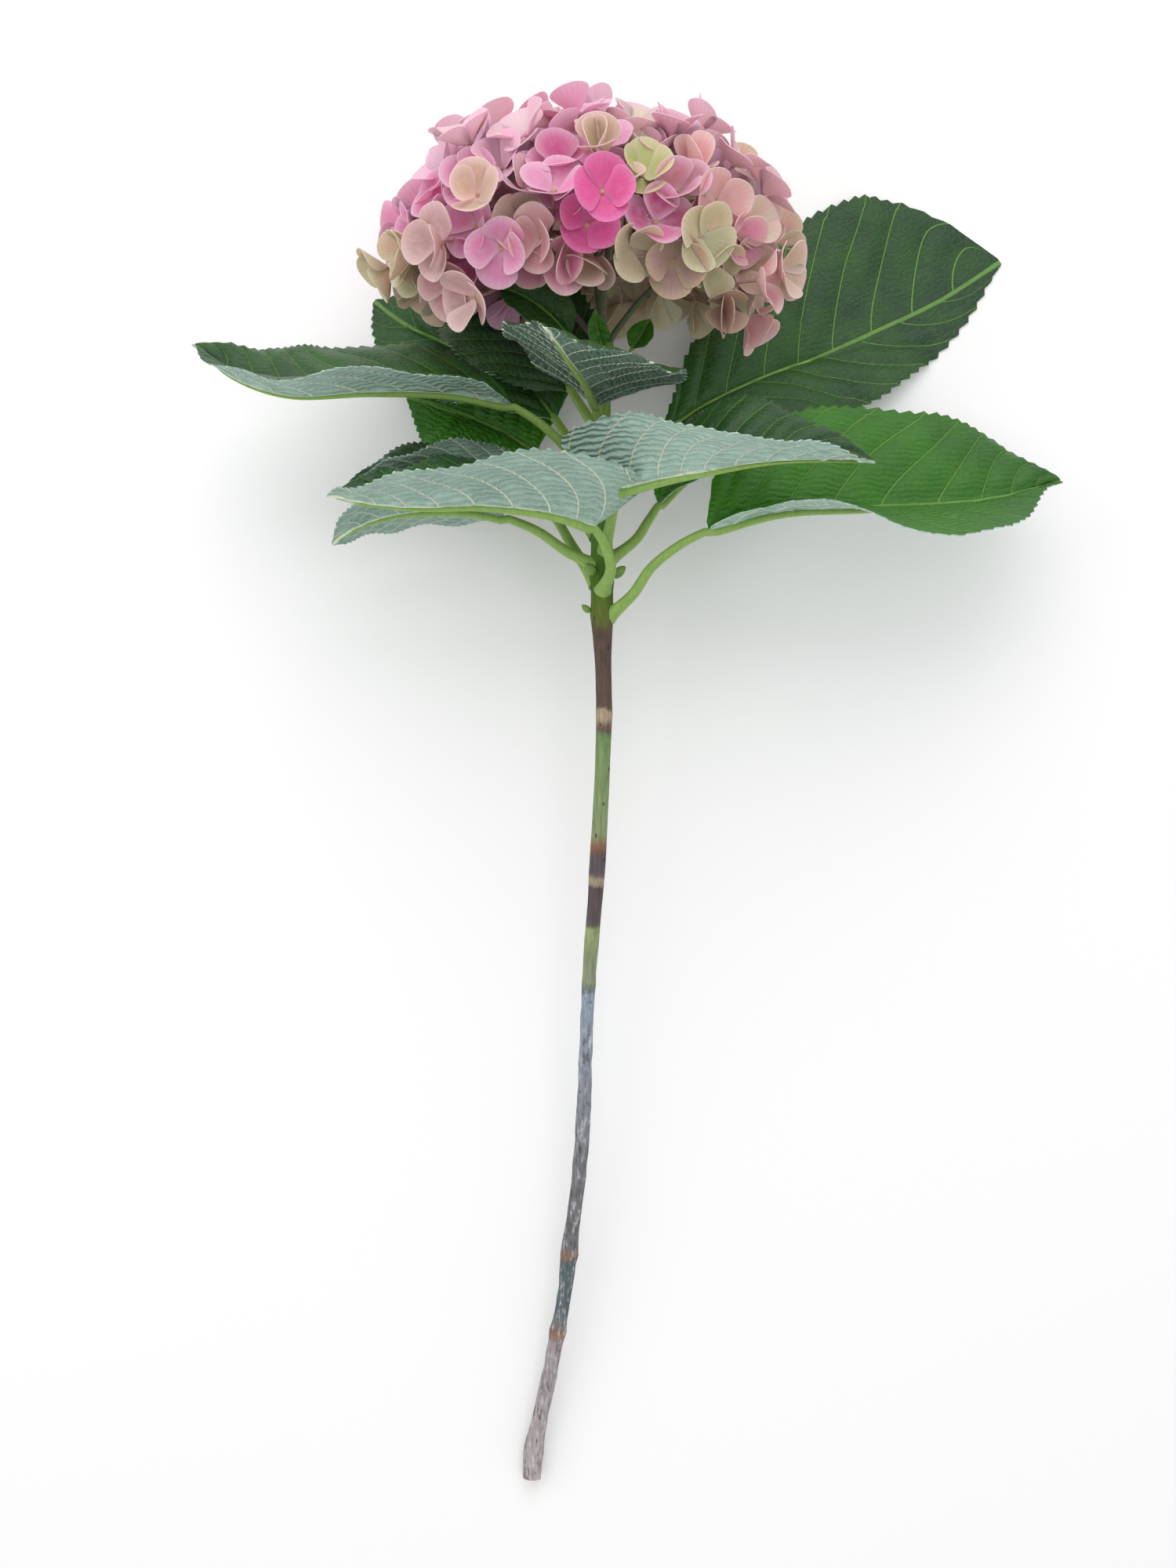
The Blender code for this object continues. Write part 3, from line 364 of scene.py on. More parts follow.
class HydrangeaColours(bpy.types.PropertyGroup):
    """Colours of the plant"""
    # Upper-side greens, partly the leaf's own colour and partly painted light and shade: the bright one
    # paints a leaf lit through, the dark one a leaf in shade.
    leaf_dark: colour_setting("Dark shaded leaf", "Upper side of a dark leaf", "#1b3c22")
    leaf_bright_and_lit: colour_setting("Bright lit leaf", "Upper side of a bright leaf", "#3a800c")
    leaf_vein: colour_setting("Veins", "Veins on the upper side", "#6c9a48")
    leaf_under_dark: colour_setting("Dark underside", "Underside of a leaf in its own shade", "#3f6150")
    leaf_under: colour_setting("Pale underside", "Underside of a leaf", "#b2d3c5")
    leaf_under_vein: colour_setting("Underside veins", "Raised veins under a leaf", "#e6f0d8")
    leaf_stalk: colour_setting("Leaf stalk", "Leaf stalks", "#8cb056")
    magenta: colour_setting("Magenta", "Deep pink sepals", "#dc4f92")
    pink: colour_setting("Pink", "Pink sepals", "#ea7fb0")
    pale_pink: colour_setting("Pale pink", "Pale mauve pink sepals", "#efbcd2")
    blush: colour_setting("Blush", "Pale peach sepals", "#efc6c3")
    salmon: colour_setting("Salmon", "Salmon pink sepals", "#eba4a8")
    rose: colour_setting("Rose", "Dull rose sepals", "#cc8590")
    cream: colour_setting("Cream", "Cream sepals and rims", "#dccfae")
    lime: colour_setting("Lime", "Greenish sepals", "#bcc474")
    buff: colour_setting("Buff", "Ageing brownish sepals", "#c6aa90")
    olive: colour_setting("Olive", "Ageing greenish sepals", "#aba47c")
    mauve: colour_setting("Mauve", "Ageing purplish sepals", "#b38e8c")


# ------------------------------------------------------------------ routes and the leaf's outline
def smooth_route(points, count):
    """count + 1 evenly spread points on a smooth curve through the given ones."""
    points = [Vector(p) for p in points]
    ends = [points[0] * 2 - points[1]] + points + [points[-1] * 2 - points[-2]]
    route = []
    for i in range(count + 1):
        position = i / count * (len(points) - 1)
        k = min(int(position), len(points) - 2)
        t = position - k
        a, b, c, d = ends[k:k + 4]
        route.append(0.5 * ((2 * b) + (c - a) * t + (2 * a - 5 * b + 4 * c - d) * t * t
                            + (3 * b - a - 3 * c + d) * t ** 3))
    return route


def stem_at(s):
    """The stem's axis point and radius at a distance s from the cut end."""
    places = [row[1] for row in STEM]
    x = np.interp(s, places, [row[0] for row in STEM])
    return Vector((x, s, 0)), float(np.interp(s, places, [row[2] for row in STEM]))


def soft_step(value, low, high):
    """0 below low, 1 above high and a smooth rise between them."""
    t = np.clip((value - low) / (high - low), 0, 1)
    return t * t * (3 - 2 * t)


def profile_width(outline, t):
    """Half width of a blade at a part t of its length, smoothed between the outline's points."""
    places = [row[0] for row in outline]
    widths = [row[1] for row in outline]
    spread = np.linspace(-0.03, 0.03, 7)
    return float(np.mean(np.interp(np.clip(t + spread * min(1, 8 * t * (1 - t)), 0, 1), places, widths)))


def between_three(values, t):
    """A value that goes from the first (t = 0) through the second to the third (t = 1)."""
    return float(np.interp(t, (0, 0.5, 1), values))


def outward_at(angle):
    """The way out of the stem at an angle round it in degrees."""
    return Vector((math.cos(math.radians(angle)), 0, math.sin(math.radians(angle))))


# ------------------------------------------------------------------ Blender helpers
SHARP_ANGLE = math.radians(50)  # edges sharper than this stay sharp


def deselect():
    if bpy.context.object and bpy.context.object.mode != "OBJECT":
        bpy.ops.object.mode_set(mode="OBJECT")
    bpy.ops.object.select_all(action="DESELECT")


def choose(objects):
    """Select just these objects, the first of them active."""
    deselect()
    for obj in objects:
        obj.select_set(True)
    bpy.context.view_layer.objects.active = objects[0]


def join(name, objects):
    choose(objects)
    bpy.ops.object.join()
    joined = bpy.context.object
    joined.name = name
    joined.data.name = name
    return joined


def coordinates(mesh):
    points = np.empty(len(mesh.vertices) * 3)
    mesh.vertices.foreach_get("co", points)
    return points.reshape(-1, 3)


def move_points(mesh, points):
    mesh.vertices.foreach_set("co", np.asarray(points, float).ravel())
    mesh.update()


def place_mesh(name, mesh, *materials):
    """An object in the scene for a mesh, with its materials."""
    for material in materials:
        mesh.materials.append(material)
    obj = bpy.data.objects.new(name, mesh)
    bpy.context.scene.collection.objects.link(obj)
    return obj


def take_apart(obj):
    """Points and faces of a modelled shape, which is then removed."""
    points = coordinates(obj.data)
    faces = [tuple(face.vertices) for face in obj.data.polygons]
    bpy.data.objects.remove(obj, do_unlink=True)
    return points, faces


def mesh_of_copies(name, shapes, faces):
    """One mesh of copies of a shape, from the points of each copy and the shape's faces."""
    count = len(shapes[0])
    mesh = bpy.data.meshes.new(name)
    mesh.from_pydata(np.concatenate(shapes), [], [tuple(k * count + i for i in face)
                                                  for k in range(len(shapes)) for face in faces])
    return mesh


def store(mesh, name, values):
    """A point attribute: one number or one colour for each vertex."""
    values = np.asarray(values, float)
    if values.ndim == 1:
        layer = mesh.attributes.new(name, "FLOAT", "POINT")
        layer.data.foreach_set("value", values)
    else:
        layer = mesh.attributes.new(name, "FLOAT_COLOR", "POINT")
        layer.data.foreach_set("color", np.column_stack([values, np.ones(len(values))]).ravel())


def lay_down(obj, lowest=0.0002):
    """Take a piece from the plant's frame to the world, nowhere below the surface it lies on."""
    obj.data.transform(TO_WORLD)
    points = coordinates(obj.data)
    points[:, 2] = np.maximum(points[:, 2], lowest)
    move_points(obj.data, points)


def thicken(obj, thickness):
    """Give a sheet its thickness, with its second material on its back and rim."""
    choose([obj])
    wall = obj.modifiers.new("thickness", "SOLIDIFY")
    wall.thickness = thickness
    wall.offset = 0
    wall.material_offset = 1
    wall.material_offset_rim = 1
    bpy.ops.object.modifier_apply(modifier=wall.name)


def finish_piece(obj, node):
    """Smooth shading, the body that the piece rides on, and the imported part it stands for, hidden."""
    choose([obj])
    bpy.ops.object.shade_smooth_by_angle(angle=SHARP_ANGLE)
    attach(obj, "root")
    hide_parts(node)


# ------------------------------------------------------------------ rods
ROD_MESHES = {}


def upright_rod(sides, rings):
    """A closed cylinder of unit radius and height with that many rings, modelled once."""
    if (sides, rings) in ROD_MESHES:
        return ROD_MESHES[sides, rings]
    deselect()
    bpy.ops.mesh.primitive_cylinder_add(vertices=sides, radius=1, depth=1, location=(0, 0, 0.5))
    rod = bpy.context.object
    bpy.ops.object.transform_apply(location=True, rotation=True, scale=True)
    bpy.ops.object.mode_set(mode="EDIT")
    bpy.ops.mesh.select_mode(type="EDGE")
    work = bmesh.from_edit_mesh(rod.data)
    for edge in work.edges:
        edge.select = abs(edge.verts[0].co.z - edge.verts[1].co.z) > 0.5
    work.select_flush_mode()
    bmesh.update_edit_mesh(rod.data)
    bpy.ops.mesh.subdivide(number_cuts=rings - 2)
    bpy.ops.object.mode_set(mode="OBJECT")
    mesh = rod.data.copy()
    mesh.name = "upright_rod"
    bpy.data.objects.remove(rod, do_unlink=True)
    ROD_MESHES[sides, rings] = mesh
    return mesh


def ring_axes(route, upper):
    """Tangent, side and upper direction at each point of a route, upper staying near one way."""
    count = len(route)
    axes = []
    for i in range(count):
        along = (route[min(i + 1, count - 1)] - route[max(i - 1, 0)]).normalized()
        side = along.cross(upper).normalized()
        upper = side.cross(along).normalized()
        axes.append((along, side, upper))
    return axes


def bend_rod(name, route, radii, sides, material, upper=(0.05, 0.1, 1), groove=0.0):
    """A copy of the rod, bent along a route in the plant's frame, with an optional upper groove."""
    route = [Vector(p) for p in route]
    mesh = upright_rod(sides, len(route)).copy()
    points = coordinates(mesh)
    ring = np.rint(points[:, 2] * (len(route) - 1)).astype(int)
    angle = np.arctan2(points[:, 1], points[:, 0])
    reach = np.array(radii)[ring] * (1 - groove * np.exp(-((angle - math.pi / 2) / 0.55) ** 2))
    axes = ring_axes(route, Vector(upper))
    side = np.array([a[1] for a in axes])[ring] * (np.cos(angle) * reach)[:, None]
    top = np.array([a[2] for a in axes])[ring] * (np.sin(angle) * reach)[:, None]
    move_points(mesh, np.array(route)[ring] + side + top)
    rod = place_mesh(name, mesh, material)
    store(mesh, "along", ring / (len(route) - 1))
    choose([rod])
    bpy.ops.object.mode_set(mode="EDIT")
    bpy.ops.mesh.select_all(action="SELECT")
    bpy.ops.mesh.normals_make_consistent(inside=False)
    bpy.ops.object.mode_set(mode="OBJECT")
    return rod


# ------------------------------------------------------------------ materials
SMOOTH = {"interpolation_type": "SMOOTHSTEP"}
MIX = {"data_type": "RGBA"}


def add_node(tree, kind, *values, output=0, **named):
    """One output of a new shader node, its inputs set or linked.

    The kind may end with its operation. Values fill the inputs that the node shows, in order.
    A name with a capital is an input as well, and the others are the node's settings. A ramp
    (MapRange) takes its value, where that starts and ends, and what it gives there."""
    kind, _, operation = kind.partition(" ")
    node = tree.nodes.new("ShaderNode" + kind)
    if operation:
        node.operation = operation
    for key in filter(str.islower, named):
        setattr(node, key, named[key])
    shown = [socket for socket in node.inputs if socket.enabled]
    inputs = list(zip(shown, values))
    inputs += [(node.inputs[key], value) for key, value in named.items() if not key.islower()]
    for socket, value in inputs:
        if isinstance(value, bpy.types.NodeSocket):
            tree.links.new(value, socket)
        elif socket.type == "RGBA":
            socket.default_value = (*value, 1)
        else:
            socket.default_value = value
    if isinstance(output, str):
        return node.outputs[output]
    return [socket for socket in node.outputs if socket.enabled][output]


def new_material(name, roughness, specular=0.5, subsurface=0.0, scatter=0.001):
    """A material with one Principled shader, and the function that adds a node to it."""
    material = bpy.data.materials.new(name)
    material.use_nodes = True
    shader = material.node_tree.nodes["Principled BSDF"]
    shader.inputs["Roughness"].default_value = roughness
    shader.inputs["Specular IOR Level"].default_value = specular
    shader.inputs["Subsurface Weight"].default_value = subsurface
    shader.inputs["Subsurface Scale"].default_value = scatter
    return material, partial(add_node, material.node_tree)


def coat(material, colour, height, strength, depth):
    """Give a material its colour and its bump, as deep as that many metres."""
    tree = material.node_tree
    shader = tree.nodes["Principled BSDF"]
    bump = add_node(tree, "Bump", Height=height, Strength=strength, Distance=depth)
    tree.links.new(colour, shader.inputs["Base Color"])
    tree.links.new(bump, shader.inputs["Normal"])
    return material


def leaf_material(name, tone, colours, roughness, vein_height, rib_width, net_strength, pucker_and_shade):
    """Hydrangea leaf: leathery, with paler ribs at their own places and a fine net between them.

    rib_width is a part of the space between side veins, and the last argument how deep the
    blade sinks between its cross veins and how strong the painted shade in each hollow and the
    painted highlight along the cross veins are."""
    dark, bright_and_lit, vein = colours
    material, add = new_material(name, roughness, 0.4, 0.08, 0.0006)
    spots = add("TexCoord", output="Object")
    # The tone read here is painted light and shade on the underside; on the upper side it is partly the
    # leaf's own green and partly painted light and shade.
    rib, inward, tone_and_light = (add("Attribute", attribute_name=attribute, output="Fac")
                        for attribute in ("rib", "midrib_distance", tone))
    part = add("Math FRACT", rib)
    off = add("Math SUBTRACT", part, 0.5)
    off = add("Math ABSOLUTE", off)
    side = add("MapRange", off, 0.5 - 1.5 * rib_width, 0.5 - 0.5 * rib_width, **SMOOTH)
    middle = add("MapRange", inward, 1.4, 0.7, **SMOOTH)
    ribs = add("Math MAXIMUM", side, middle)
    # Cross veins run like rungs from side vein to side vein, about 2.5 mm apart, and wander.
    bend = add("TexNoise", Vector=spots, Scale=130.0, Detail=2.0)
    bend = add("Math MULTIPLY", bend, 0.9)
    rung = add("Math MULTIPLY_ADD", inward, 0.42, bend)
    # They start afresh at every side vein.
    number = add("Math FLOOR", rib)
    rung = add("Math MULTIPLY_ADD", number, 0.37, rung)
    rung = add("Math MULTIPLY_ADD", part, 0.6, rung)
    rung = add("Math ADD", rung, bend)
    rung = add("Math FRACT", rung)
    rung = add("Math SUBTRACT", rung, 0.5)
    rung = add("Math ABSOLUTE", rung)
    # The blade sinks between the cross veins; its colour gets painted shade in each hollow and a
    # painted highlight along the cross veins.
    hollow_and_shade = add("MapRange", rung, 0.05, 0.42, -pucker_and_shade, pucker_and_shade, **SMOOTH)
    rung = add("MapRange", rung, 0.41, 0.48, **SMOOTH)
    # The finest net has meshes of about 2.5 mm.
    cells = add("TexVoronoi", feature="DISTANCE_TO_EDGE", Vector=spots, Scale=400.0)
    fine = add("MapRange", cells, 0.16, 0.0, 0.0, 0.35, **SMOOTH)
    net = add("Math MAXIMUM", rung, fine)
    net = add("Math MULTIPLY", net, net_strength)
    # Blotches 20 mm across and a grain of 1.5 mm.
    blotch = add("TexNoise", Vector=spots, Scale=50.0, Detail=3.0)
    grain = add("TexNoise", Vector=spots, Scale=650.0, Detail=2.0)
    shift = add("MapRange", blotch, 0.3, 0.7, -0.13, 0.13)
    # The painted shade in the hollows grows with the tone; the blotches of the leaf's own tone and that
    # painted shade are then added to the tone.
    hollow_and_shade = add("Math MULTIPLY", hollow_and_shade, tone_and_light)
    tone_and_light = add("Math ADD", tone_and_light, shift)
    tone_and_light = add("Math ADD", tone_and_light, hollow_and_shade, use_clamp=True)
    lamina = add("Mix", tone_and_light, dark, bright_and_lit, **MIX)
    netted = add("Mix", net, lamina, vein, **MIX)
    veined = add("Math MULTIPLY", ribs, 0.85)
    colour = add("Mix", veined, netted, vein, **MIX)
    height = add("Math MULTIPLY_ADD", ribs, vein_height, grain)
    height = add("Math MULTIPLY_ADD", net, vein_height * 1.5, height)
    height = add("Math MULTIPLY_ADD", hollow_and_shade, vein_height * 4, height)
    return coat(material, colour, height, 0.75, 0.0006)


def stalk_material(name, colour):
    """Fresh green stalk: smooth waxy skin with faint lengthwise lines, a little translucent."""
    material, add = new_material(name, 0.42, 0.45, 0.12, 0.001)
    spots = add("TexCoord", output="Object")
    lines = add("Mapping", Vector=spots, Scale=(1, 0.12, 1))
    streak = add("TexNoise", Vector=lines, Scale=700.0, Detail=3.0)
    tone = add("MapRange", streak, 0.35, 0.65)
    mixed = add("Mix", tone, [c * 0.84 for c in colour], colour, **MIX)
    return coat(material, mixed, streak, 0.3, 0.0002)


def tinted_stalk_material():
    """Flower stalk: each keeps its own tint, green, cream or flushed with red, on a smooth skin."""
    material, add = new_material("flower stalk", 0.5, 0.4, 0.1, 0.001)
    tint = add("Attribute", attribute_name="tint", output="Color")
    spots = add("TexCoord", output="Object")
    flush = add("TexNoise", Vector=spots, Scale=400.0, Detail=3.0)
    tone = add("MapRange", flush, 0.3, 0.7, 0.0, 0.45)
    mixed = add("Mix", tone, tint, linear("#4d3b33"), **MIX)
    return coat(material, mixed, flush, 0.25, 0.0002)


def sepal_material(name, back):
    """Hydrangea sepal: soft matt tissue that lets light through, with a paler rim and fan veins."""
    material, add = new_material(name, 0.55, 0.3, 0.45, 0.003)
    shader = material.node_tree.nodes["Principled BSDF"]
    shader.inputs["Subsurface Radius"].default_value = (1.0, 0.6, 0.6)
    tint = add("Attribute", attribute_name="tint", output="Color")
    rim = add("Attribute", attribute_name="rim", output="Color")
    sheet = add("UVMap")
    middle = add("VectorMath SUBTRACT", sheet, (0.5, 0.5, 0.0))
    reach = add("VectorMath LENGTH", middle)
    edge = add("MapRange", reach, 0.14, 0.5, 0.0, 0.72, **SMOOTH)
    # The outermost half millimetre is the palest.
    hem = add("MapRange", reach, 0.455, 0.485, 0.0, 0.3, **SMOOTH)
    edge = add("Math ADD", edge, hem)
    # Veins fan out from the claw, about a millimetre apart at the rim.
    out, side, _ = add("SeparateXYZ", middle).node.outputs
    out = add("Math ADD", out, 0.62)
    fan = add("Math DIVIDE", side, out)
    fan = add("Math MULTIPLY", fan, 44.0)
    wave = add("Math SINE", fan)
    vein = add("MapRange", wave, 0.5, 1.0, 0.0, 0.16, **SMOOTH)
    spots = add("TexCoord", output="Object")
    cloud = add("TexNoise", Vector=spots, Scale=240.0, Detail=3.0)
    patch = add("MapRange", cloud, 0.35, 0.75, 0.0, 0.4)
    blend = add("Math MAXIMUM", edge, patch)
    if back:
        blend = add("Math MULTIPLY_ADD", blend, 0.5, 0.35, use_clamp=True)
    body = add("Mix", blend, tint, rim, **MIX)
    shade = add("Mix", 1.0, body, (0.72, 0.6, 0.6), blend_type="MULTIPLY", **MIX)
    colour = add("Mix", vein, body, shade, **MIX)
    height = add("Math MULTIPLY_ADD", vein, 3.0, cloud)
    return coat(material, colour, height, 0.25, 0.0003)


def bark_material():
    """Hydrangea bark: peeling and grey at the foot, brown then green with dark specks above."""
    material, add = new_material("hydrangea bark", 0.72, 0.3)
    length = STEM[-1][1]
    along = add("Attribute", attribute_name="along", output="Fac")
    spots = add("TexCoord", output="Object")
    wander = add("TexNoise", Vector=spots, Scale=220.0, Detail=3.0)
    # The bands' edges wander by about 3 mm.
    place = add("Math MULTIPLY_ADD", wander, 6 / length, along)
    place = add("Math SUBTRACT", place, 3 / length)
    colour = add("ValToRGB", place)
    stops = colour.node.color_ramp.elements
    while len(stops) < len(BARK_COLOURS):
        stops.new(0.5)
    for stop, (s, code) in zip(stops, BARK_COLOURS):
        stop.position = s / length
        stop.color = (*linear(code), 1)
    # Old bark below OLD_BARK_TOP peels in flakes 2 to 8 mm long.
    old = add("MapRange", place, (OLD_BARK_TOP + 4) / length, (OLD_BARK_TOP - 6) / length, **SMOOTH)
    young = add("Math SUBTRACT", 1.0, old)
    grain = add("Mapping", Vector=spots, Scale=(1, 0.3, 1))
    flake = add("TexNoise", Vector=grain, Scale=520.0, Detail=5.0, Roughness=0.65)
    pale = add("MapRange", flake, 0.54, 0.64, 0.0, 0.5, **SMOOTH)
    dark = add("MapRange", flake, 0.46, 0.36, 0.0, 0.8, **SMOOTH)
    # Dark breathing pores, about 1 mm across and 5 mm apart, on the young bark.
    pores = add("Mapping", Vector=spots, Scale=(1, 0.55, 1))
    pore = add("TexVoronoi", Vector=pores, Scale=200.0)
    speck = add("MapRange", pore, 0.16, 0.1, 0.0, 0.8, **SMOOTH)
    for marks, bark, code in ((pale, old, "#cfd3d8"), (dark, old, "#54504f"), (speck, young, "#3a3230")):
        marks = add("Math MULTIPLY", marks, bark)
        colour = add("Mix", marks, colour, linear(code), **MIX)
    lines = add("Mapping", Vector=spots, Scale=(1, 0.08, 1))
    streak = add("TexNoise", Vector=lines, Scale=900.0, Detail=3.0)
    tone = add("MapRange", streak, 0.3, 0.7, 0.75, 1.2)
    colour = add("VectorMath SCALE", colour, tone)
    height = add("Math MULTIPLY_ADD", flake, old, streak)
    return coat(material, colour, height, 0.6, 0.0004)


def cut_wood_material():
    """Freshly cut green wood: pale and fibrous."""
    material, add = new_material("cut green wood", 0.8, 0.2)
    spots = add("TexCoord", output="Object")
    fibre = add("TexNoise", Vector=spots, Scale=1800.0, Detail=3.0)
    colour = add("Mix", fibre, linear("#a08a6c"), linear("#d9cbab"), **MIX)
    return coat(material, colour, fibre, 0.4, 0.0002)


# ------------------------------------------------------------------ stem
def stem_route():
    """Axis points and radii every millimetre along the stem, its bends eased."""
    rows = np.array(STEM, float)
    places = np.arange(0, rows[-1, 1] + 0.5, 1.0)
    window = np.hanning(13)
    window /= window.sum()
    x = np.interp(places, rows[:, 1], rows[:, 0])
    radius = np.interp(places, rows[:, 1], rows[:, 2])
    x = np.convolve(np.pad(x, 6, mode="reflect", reflect_type="odd"), window, "valid")
    radius = np.convolve(np.pad(radius, 6, mode="edge"), window, "valid")
    return [Vector((a, s, 0)) for a, s in zip(x, places)], radius


class HYDRANGEA_OT_stem(bpy.types.Operator):
    """Model the stem with its bark, swollen nodes and cut end"""
    bl_idname = "hydrangea.stem"
    bl_label = "Stem"

    def execute(self, context):
        sizes = context.scene.hydrangea_sizes
        route, radii = stem_route()
        places = np.array([p.y for p in route])
        for place, height, half in COLLARS:
            radii = radii + height * COLLAR_SHARE * np.exp(-((places - place) / half) ** 2)
        stem = bend_rod("stem_with_bark", route, radii, STEM_SIDES, bark_material())
        mesh = stem.data
        points = coordinates(mesh)
        axis_x = np.interp(points[:, 1], places, [p.x for p in route])
        outward = points - np.column_stack([axis_x, points[:, 1], np.zeros(len(points))])
        outward /= np.maximum(np.linalg.norm(outward, axis=1), 1e-6)[:, None]
        old = soft_step(points[:, 1], OLD_BARK_TOP + 10, OLD_BARK_TOP - 8)
        depth = sizes.bark_depth * 1000
        relief = []
        for point, rough in zip(points, old):
            x, s, h = point
            flakes = noise.fractal(Vector((x * 0.35, s * 0.13, h * 0.35)), 0.8, 2.2, 4)
            ridge = noise.noise(Vector((x * 0.9, s * 0.05, h * 0.9)))
            relief.append(depth * (flakes * (0.12 + 0.75 * rough) + ridge * (0.25 + 0.5 * rough)))
        points += outward * np.array(relief)[:, None]
        move_points(mesh, points)
        mesh.materials.append(cut_wood_material())
        self.cut_face(stem)
        lay_down(stem)
        finish_piece(stem, "stem")
        return {"FINISHED"}

    def cut_face(self, stem):
        """The cut end's rim of bark, ring of wood and hollow pith."""
        choose([stem])
        bpy.ops.object.mode_set(mode="EDIT")
        bpy.ops.mesh.select_mode(type="FACE")
        work = bmesh.from_edit_mesh(stem.data)
        for face in work.faces:
            face.select = len(face.verts) > 4 and face.calc_center_median().y < 5
            if face.select:
                centre = face.calc_center_median()
        bmesh.update_edit_mesh(stem.data)
        stem.active_material_index = 1
        for narrower, deeper in ((0.84, 0.0), (0.5, 0.15), (0.7, 0.5)):
            bpy.ops.mesh.inset(thickness=0.02, depth=0)
            bpy.ops.transform.resize(value=(narrower,) * 3, center_override=centre)
            bpy.ops.transform.translate(value=(0, deeper, 0))
            bpy.ops.object.material_slot_assign()
        bpy.ops.object.mode_set(mode="OBJECT")


# ------------------------------------------------------------------ leaves
def shape_blade(leaf, points, sizes, seed):
    """Bend a flat grid of 2 by 2 into the leaf's blade.

    Returns the moved points, the rib number that runs to each and its distance from the midrib."""
    count = len({round(y, 4) for y in points[:, 1]}) - 1
    midrib = smooth_route(leaf["midrib"], count)
    up_base, up_tip = (Vector(u).normalized() for u in leaf["up"])
    length = sum((b - a).length for a, b in zip(midrib, midrib[1:]))
    small = min(1, max(leaf["width"]) / FULL_SIZE)
    outlines = leaf.get("outlines", (BLADE_PROFILE, BLADE_PROFILE))
    rows = []
    for i, point in enumerate(midrib):
        t = i / count
        along = (midrib[min(i + 1, count)] - midrib[max(i - 1, 0)]).normalized()
        up = up_base.lerp(up_tip, t)
        up = (up - along * up.dot(along)).normalized()
        rows.append((t, point, along, up, [profile_width(outline, t) for outline in outlines]))
    moved, ribs, distances = [], [], []
    for x, y, _ in points:
        t, point, along, up, widths = rows[round((y + 1) / 2 * count)]
        half = int(x > 0)
        width = widths[half]
        across = abs(x)
        reach = leaf["width"][half] * width
        # Teeth rise slowly and fall fast, and fade out at both ends of the blade.
        ends = min(1, 12 * t, 14 * (1 - t))
        tooth = (t * sizes.teeth) % 1.0
        tooth = min(tooth / 0.75, (1 - tooth) / 0.25) - 0.5
        margin = float(soft_step(across, 0.9, 1.0))
        distance = reach * across + margin * sizes.tooth_depth * 1000 * tooth * ends * small
        rise = math.radians(between_three(leaf["right" if half else "left"], t))
        right = along.cross(up)
        outward = right * math.copysign(math.cos(rise), x) + up * math.sin(rise)
        normal = up * math.cos(rise) - right * math.copysign(math.sin(rise), x)
        # The blade swells between its side veins.
        start = t - VEIN_LEAN[0] * across ** VEIN_LEAN[1] * (0.5 + 0.5 * width)
        rib = start * sizes.vein_pairs + (0.5 if half else 0.15)
        swell = sizes.quilt_depth * 1000 * (1 - abs(2 * (rib % 1.0) - 1) ** 2.4) * min(1, across * 5)
        swell *= (1 - across ** 5) * ends
        fold = FOLD[0] * math.exp(-(distance / FOLD[1]) ** 2)
        bow = BOW * across * (1 - across) * width
        wave = WAVES[0] * math.sin(2 * math.pi * (WAVES[1] * t + 0.3 * half) + seed) * across ** 3 * ends
        spot = Vector((t * length * RUFFLE[1], across * reach * RUFFLE[1], seed))
        ruffle = RUFFLE[0] * noise.noise(spot)
        height = (swell - fold + bow + wave + ruffle) * small
        back = LOBE_SHAPE * width * max(0, 1 - t / LOBE_LENGTH) ** 2 * across
        back *= leaf.get("lobe", (0, 0))[half]
        moved.append(point + outward * distance + normal * height - along * back)
        ribs.append(rib)
        distances.append(distance)
    return moved, ribs, distances


